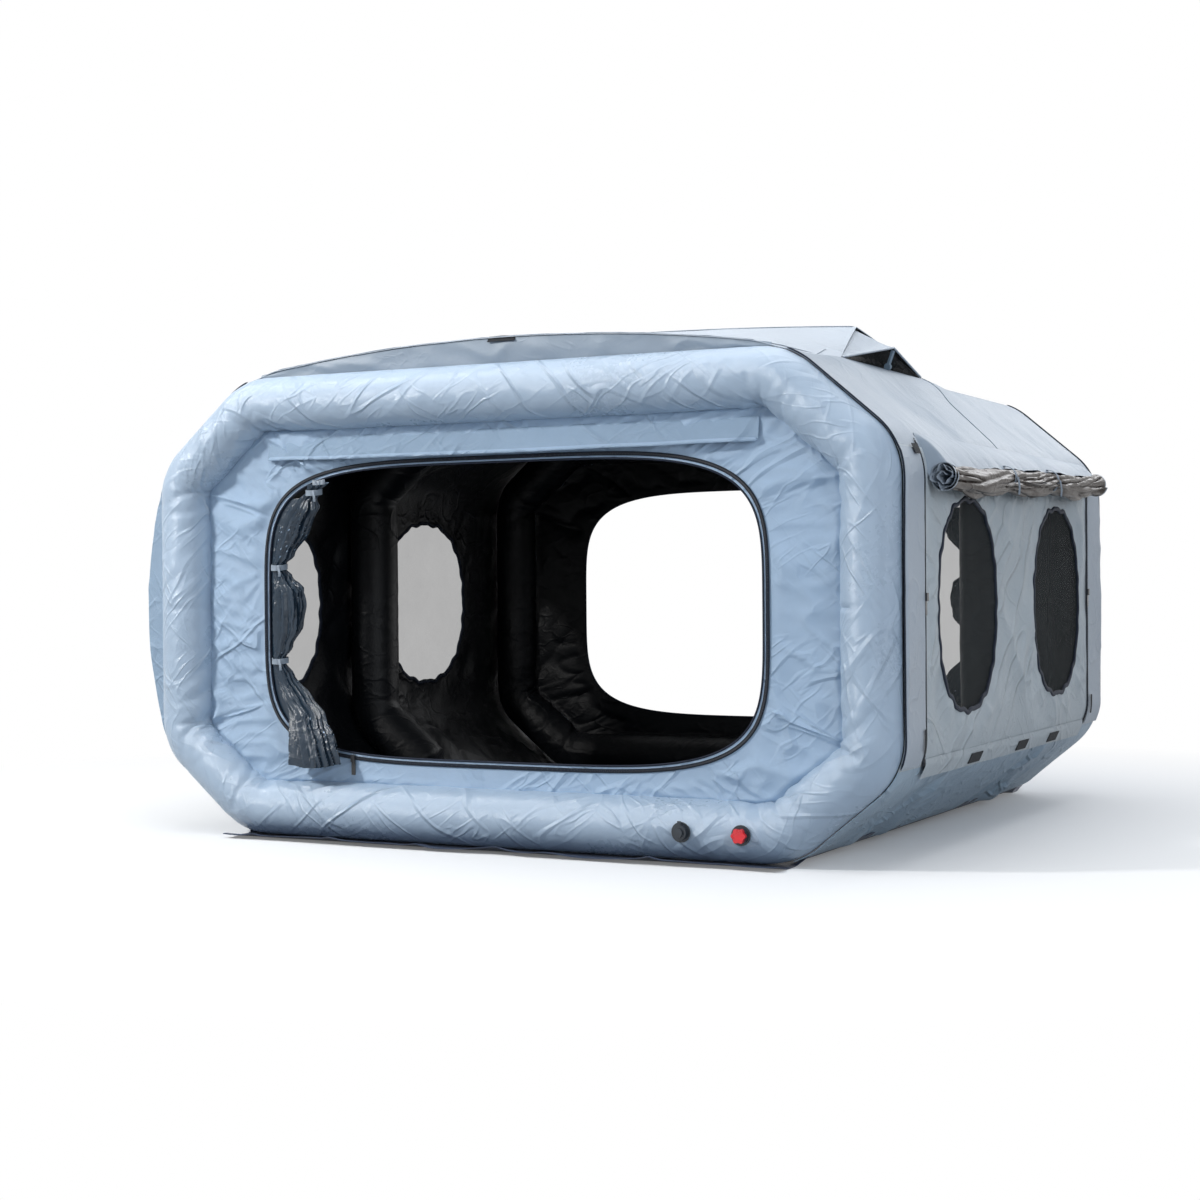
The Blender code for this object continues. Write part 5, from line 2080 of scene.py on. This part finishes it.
@dataclass
class RainFlap(Maker):
    """The flap under the front ring's top, which keeps rain off the door."""

    half: float = 0.950
    top: float = 1.4210
    drop: float = 0.077  # how far it hangs down
    stand: float = 0.030  # how far its free edge stands out

    def spot(self, along: float, down: float) -> Vector:
        """A point on the flap.

        Args:
            along: Share of its length.
            down: Share of its drop.

        Returns:
            The point.
        """
        x = (2 * along - 1) * self.half
        ends = fade(min(along, 1 - along), 0.0, 0.05)
        wave = rumple(x * 3.2, down, 121) * 0.006 + crease(x * 5, down * 0.6, 127) * 0.004
        out = 0.0045 + self.stand * (0.35 + 0.65 * ends) * down**0.8 + wave * down
        sag = 0.006 * arch(along) + 0.0035 * rumple(x * 4, 0, 129)
        return Vector((x, -RING_Y - out, self.top - (self.drop + sag) * down))

    def build(self) -> None:
        """Make the flap and the hem along its free edge."""
        # The flap is the panel's cloth painted darker, as painted shade under the ring; its hem
        # keeps the panel's colour.
        cloth(
            "flap_cloth", (200, 10), self.spot, (2 * self.half, 0.085), [self.finishes.flap] * 2,
            0.0018, "panel_cloth", ["rain_flap"], "hung", ["front_panel_cloth"], towards=AHEAD,
        )
        track = framed(lambda share: self.spot(share, 0.96), lambda share: AHEAD, 0.003)
        ribbon(
            "flap_hem", track, (0.0065, 0.0026), 200, False, self.finishes.panel, "panel_cloth"
        )


@dataclass
class RolledCover(Maker):
    """A side cover rolled up along the wall's top and held by two ties."""

    side: Side
    half: float = 0.985
    radius: float = 0.050
    sag: float = 0.020  # how far it sags between its ties
    tilt: float = 0.024  # how much higher its rear end is than its middle

    # The roll's sag and thickness at shares of its length
    ROLL = (
        (-1.00, 0.00, 1.00), (-0.86, 0.35, 0.92), (-0.64, 0.90, 1.12), (-0.42, 0.45, 1.02),
        (-0.28, 0.10, 0.84), (-0.14, 0.35, 1.02), (0.00, 0.65, 1.08), (0.14, 0.35, 1.02),
        (0.28, 0.10, 0.84), (0.42, 0.45, 1.00), (0.64, 0.90, 1.08), (0.86, 0.35, 0.92),
        (1.00, 0.00, 0.98),
    )

    def build(self) -> None:
        """Make the roll, its pale folded ends and its ties."""
        self.wound(f"{self.side.title}_cover_roll", 2.0, (0.62, 0.98), 1.0)
        self.wound(f"{self.side.title}_cover_core", 1.7, (0.20, 0.78), 1.012)
        self.head()
        for end in End:
            self.tie(end)

    def wound(self, name: str, turns: float, reach: tuple[float, float], longer: float) -> None:
        """Make one sheet wound on itself.

        Args:
            name: Its name.
            turns: How often it is wound.
            reach: Its innermost and outermost share of the radius.
            longer: Its length as a share of the roll's.
        """
        sign = self.side.value
        core = reach[0] < 0.5
        low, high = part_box(f"{self.side.title}_rolled_cover")
        middle_x = (low.x + high.x) / 2
        level = high.z - self.radius - 0.002 - self.tilt

        def place(along: float, wound: float) -> Vector:
            """A point on the sheet."""
            share = 2 * along - 1
            sag, full = spread(self.ROLL, share)
            angle = wound**0.8 * turns * FULL_TURN + 0.25 * math.sin(share * 5)
            turn = ray(angle)
            lobes = rumple(turn.x * 1.3 + 3, turn.y * 1.3 + share * 2.4, 131 + sign)
            folds = crease(turn.x * 1.5 + share * 2.6, turn.y * 1.5 - share * 1.8, 137 + sign)
            small = crease(turn.x * 3.4 - share * 3, turn.y * 3.4 + share * 2, 139 + sign)
            end = fade(1 - abs(share), 0.0, 0.05)
            ripple = 1 + end * (0.13 * lobes - 0.32 * folds - 0.09 * small)
            if core:
                ripple *= 1 + 0.30 * math.sin(4 * angle + 1) * (0.35 + 0.65 * wound)
            size = self.radius * full * (reach[0] + (reach[1] - reach[0]) * wound**0.8) * ripple
            x = middle_x + sign * turn.x * size * 0.98
            z = level + self.tilt * share - self.sag * sag + turn.y * size * 1.02
            return Vector((x, share * self.half * longer, z))

        piece = shaped(name, 40 if core else 200, 130, place, (2 * self.half, 1.0))
        shrink = 0.001
        for point in piece.data.vertices:
            point.co.y *= shrink
        faced(piece, None, Vector((middle_x, 0, level)))
        for point in piece.data.vertices:
            point.co.y /= shrink
        roof = self.finishes.roof
        # The outer turns take the dark cover cloth, whose brown tint is a painted warm reflection.
        piece = sheet(piece, [roof if core else self.finishes.cover, roof], 0.0008)
        for face in piece.data.polygons:
            if abs(face.center.y) > self.half - 0.012:
                face.material_index = 1
        nodes = [] if core else [f"{self.side.title}_rolled_cover"]
        rides(piece, "rolled_cover", *nodes)
        cut_size(piece, 2 * self.half, 2)

    def head(self) -> None:
        """Make the cover's head: the strip from the roof slope's foot over the roll."""
        outline = self.outline
        sign = self.side.value
        low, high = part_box(f"{self.side.title}_rolled_cover")
        level = high.z - 0.002 - self.tilt
        hip = outline.bends[2]
        foot_x = abs(low.x + high.x) / 2 - 0.004

        def place(along: float, out: float) -> Vector:
            """A point on the strip."""
            share = 2 * along - 1
            sag, full = spread(self.ROLL, share)
            top = outline.point(hip + 0.030, SKIN_OUT + 0.0030, share * self.half)
            rise = self.radius * (full * 0.94 - 1) - self.sag * sag
            foot = Vector((foot_x, top.y, level + self.tilt * share + rise))
            wall = outline.point(hip - 0.055, SKIN_OUT + 0.0040, top.y)
            made = top.lerp(wall.lerp(foot, fade(1 - abs(share), 0.0, 0.035)), out)
            fold = crease(share * 6, out * 0.6, 161 + sign) * out
            made.z += 0.010 * arch(out) - 0.006 * fold
            return Vector((made.x * sign, made.y, made.z))

        # The head takes the cover's cloth painted darker, as painted shade.
        cloth(
            f"{self.side.title}_cover_head", (150, 12), place, (2 * self.half, 0.10),
            (self.finishes.slope, self.finishes.lining), 0.0012, "cover_cloth", [], "stretched",
            [f"{self.side.title}_roof_slope_cloth"], towards=Vector((sign, 0, 1)),
        )

    def tie(self, end: End) -> None:
        """Make one tie: a strap round the roll, sewn to the wall above it.

        Args:
            end: Which tie.
        """
        sign = self.side.value
        node = f"{self.side.title}_cover_{end.title}_tie"
        low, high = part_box(node)
        middle, half = (low + high) / 2, (high - low) / 2

        def loop(around: float, along: float) -> Vector:
            """A point on the strap."""
            angle = around * FULL_TURN
            y = middle.y + (along - 0.5) * 2 * half.y + 0.002 * math.sin(3 * angle)
            x = middle.x + math.cos(angle) * half.x * 0.94
            return Vector((x, y, middle.z - 0.003 + math.sin(angle) * half.z * 0.96))

        def tail(along: float, down: float) -> Vector:
            """A point on the tail."""
            y = middle.y + (along - 0.5) * 2 * half.y + 0.012 * down
            x = middle.x + sign * (half.x + 0.002 + 0.004 * math.sin(down * 3))
            return Vector((x, y, middle.z - down * 0.060))

        webbing = [self.finishes.webbing]
        cloth(
            f"{node}_loop", (48, 5), loop, (0.30, 2 * half.y), webbing, 0.0016, "webbing", [node],
            "stretched", [f"{self.side.title}_cover_roll"], away_from=middle, closed=True,
        )
        cloth(
            f"{node}_tail", (4, 14), tail, (0.02, 0.06), webbing, 0.0014, "webbing", [], "hung",
            [f"{node}_loop"], towards=Vector((sign, 0, 0)),
        )


@dataclass
class GroundSheet(Maker):
    """The dark ground sheet, turned up at its sides, with an uneven apron past each end."""

    def build(self) -> None:
        """Make the sheet."""
        low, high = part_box("ground_sheet")
        outline = self.outline

        def place(along: float, across: float) -> Vector:
            """A point on the sheet."""
            x = low.x + (high.x - low.x) * along
            y = low.y + (high.y - low.y) * across
            past = fade(abs(y), RING_Y + 0.06, high.y)
            lift = past * (0.012 + 0.010 * rumple(x * 5, y * 3, 141))
            lift += past * 0.012 * crease(x * 4.5, y * 2, 143)
            y -= math.copysign(past * 0.018 * (1 + rumple(x * 3.5, 2, 147)), y)
            rumpled = 0.0025 * (1 + rumple(x * 6, y * 6, 149)) * (1 - past)
            made = Vector((x, y, 0.0026 + (rumpled if abs(y) < 1.1 else 0) * 0.4 + lift))
            wall = outline.point(outline.bends[0] + 0.035, SKIN_OUT - 0.0055, y)
            wall.x = math.copysign(wall.x, x)
            turned = fade(abs(2 * along - 1), 0.965, 1.0) * fade(RING_Y - abs(y), 0.0, 0.06)
            return made.lerp(wall, turned)

        cloth(
            "ground_cloth_sheet", (150, 170), place, (high.x - low.x, high.y - low.y),
            [self.finishes.ground], 0.0020, "ground_cloth", ["ground_sheet"], "laid",
            ["front_sleeve"], towards=UP,
        )


@dataclass
class Fittings:
    """The hard nodes, whose solids stay and get their finishes."""

    finishes: Finishes

    def build(self) -> None:
        """Dress each hard node."""
        made = self.finishes
        finish_of = {"knob": made.red, "slider": made.slider, "strut": made.strut}
        for name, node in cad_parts.items():
            if node.hide_render:
                continue
            chosen = made.black
            for word, finish in finish_of.items():
                if word in name:
                    chosen = finish
            finished(node, chosen)
            pick(node)
            bpy.ops.object.shade_smooth_by_angle(angle=HARD_ANGLE)
            LOG.info("%s keeps its solid", name)


@dataclass
class Studio:
    """Floor, backdrop, lamps and camera."""

    top: float = 190.0
    key: float = 430.0
    fill: float = 112.0
    sky: float = 0.36
    lens: float = 60.917

    def floor(self) -> None:
        """Make the pale floor."""
        deselect()
        bpy.ops.mesh.primitive_plane_add(size=60, location=(0, 0, 0))
        floor = bpy.context.object
        floor.name = "floor"
        paint = Paint("floor_white")
        path = paint.node("ShaderNodeLightPath", {}, {})
        seen = Wire(paint, path.outputs["Is Camera Ray"])
        seen += Wire(paint, path.outputs["Is Glossy Ray"])
        seen += Wire(paint, path.outputs["Is Transmission Ray"])
        tone = paint.between(seen, (0.30, 0.32, 0.34), (0.92, 0.93, 0.94))
        paint.plain(Base_Color=tone, Roughness=0.9)
        across, along = paint.split(paint.place(False))[:2]
        away = paint.ramp((across * across + along * along) * 0.01, 0.0, 0.15)
        glow = paint.node("ShaderNodeEmission", {}, {"Strength": 1.0})
        mix = paint.node("ShaderNodeMixShader", {}, {0: away * seen})
        tree = paint.material.node_tree
        output = next(node for node in tree.nodes if node.type == "OUTPUT_MATERIAL")
        tree.links.new(paint.shader.outputs[0], mix.inputs[1])
        tree.links.new(glow.outputs[0], mix.inputs[2])
        tree.links.new(mix.outputs[0], output.inputs["Surface"])
        floor.data.materials.append(paint.material)

    def world(self) -> None:
        """White to the camera, soft blue-white light to the object."""
        world = bpy.data.worlds.new("studio")
        bpy.context.scene.world = world
        world.use_nodes = True
        tree = world.node_tree
        tree.nodes.clear()
        path = tree.nodes.new("ShaderNodeLightPath")
        soft = tree.nodes.new("ShaderNodeBackground")
        soft.inputs[0].default_value = (0.80, 0.88, 1.0, 1)
        soft.inputs[1].default_value = self.sky
        white = tree.nodes.new("ShaderNodeBackground")
        white.inputs[0].default_value = (1, 1, 1, 1)
        output = tree.nodes.new("ShaderNodeOutputWorld")
        light = soft
        for kind in ("Is Camera Ray", "Is Glossy Ray", "Is Transmission Ray"):
            mix = tree.nodes.new("ShaderNodeMixShader")
            tree.links.new(path.outputs[kind], mix.inputs[0])
            tree.links.new(light.outputs[0], mix.inputs[1])
            tree.links.new(white.outputs[0], mix.inputs[2])
            light = mix
        tree.links.new(light.outputs[0], output.inputs[0])

    def lamp(
        self, name: str, place: Vector, aim: Vector, power: float, size: float, colour: Colour
    ) -> None:
        """Make one area lamp.

        Args:
            name: Its name.
            place: Where it is.
            aim: What it points at.
            power: Its power in watts.
            size: Its side in metres.
            colour: Its colour.
        """
        data = bpy.data.lights.new(name, "AREA")
        data.energy = power
        data.size = size
        data.color = colour
        lamp = bpy.data.objects.new(name, data)
        bpy.context.scene.collection.objects.link(lamp)
        lamp.location = place
        lamp.rotation_mode = "QUATERNION"
        lamp.rotation_quaternion = (aim - place).to_track_quat("-Z", "Y")

    def camera(self) -> None:
        """Put the camera where the photograph was taken."""
        data = bpy.data.cameras.new("camera")
        data.lens = self.lens
        data.sensor_width = 36
        data.clip_end = 200
        camera = bpy.data.objects.new("camera", data)
        bpy.context.scene.collection.objects.link(camera)
        right = Vector((0.88781807, 0.46013189, -0.00759793))
        up = Vector((0.00278553, 0.01113677, 0.9999341))
        forward = Vector((-0.46018618, 0.88778073, -0.00860571))
        turned = Matrix((right, up, -forward)).transposed().to_4x4()
        camera.matrix_world = Matrix.Translation((3.4516, -7.1474, 0.8979)) @ turned
        bpy.context.scene.camera = camera

    def build(self) -> None:
        """Set up the studio."""
        self.camera()
        self.floor()
        self.world()
        white = (1.0, 0.985, 0.96)
        self.lamp("top", Vector((0.2, -0.4, 5.6)), MIDDLE, self.top, 5.0, (0.97, 0.985, 1.0))
        self.lamp("key", Vector((-4.6, -5.2, 5.0)), MIDDLE, self.key, 0.7, white)
        self.lamp("fill", Vector((6.0, -5.0, 2.4)), MIDDLE, self.fill, 2.2, (0.86, 0.93, 1.0))
        self.lamp("back", Vector((2.0, 6.5, 4.5)), MIDDLE, self.fill, 3.0, (0.95, 0.97, 1.0))
        bpy.context.scene.view_settings.view_transform = "Standard"


def main() -> None:
    """Build the tent's looks in order."""
    logging.basicConfig(level=logging.INFO, format="%(message)s")
    Studio().build()
    finishes = Finishes()
    shop = (Outline(RingLine()), finishes)
    for end in End:
        AirRing(*shop, end).build()
    MiddleArch(*shop).build()
    FlyRoof(*shop).build()
    for side in Side:
        SideSkin(*shop, side).build()
        RolledCover(*shop, side).build()
    for end in End:
        EndPanel(*shop, end).build()
    RainFlap(*shop).build()
    GroundSheet(*shop).build()
    Fittings(finishes).build()
    deselect()


if __name__ == "__main__":
    main()
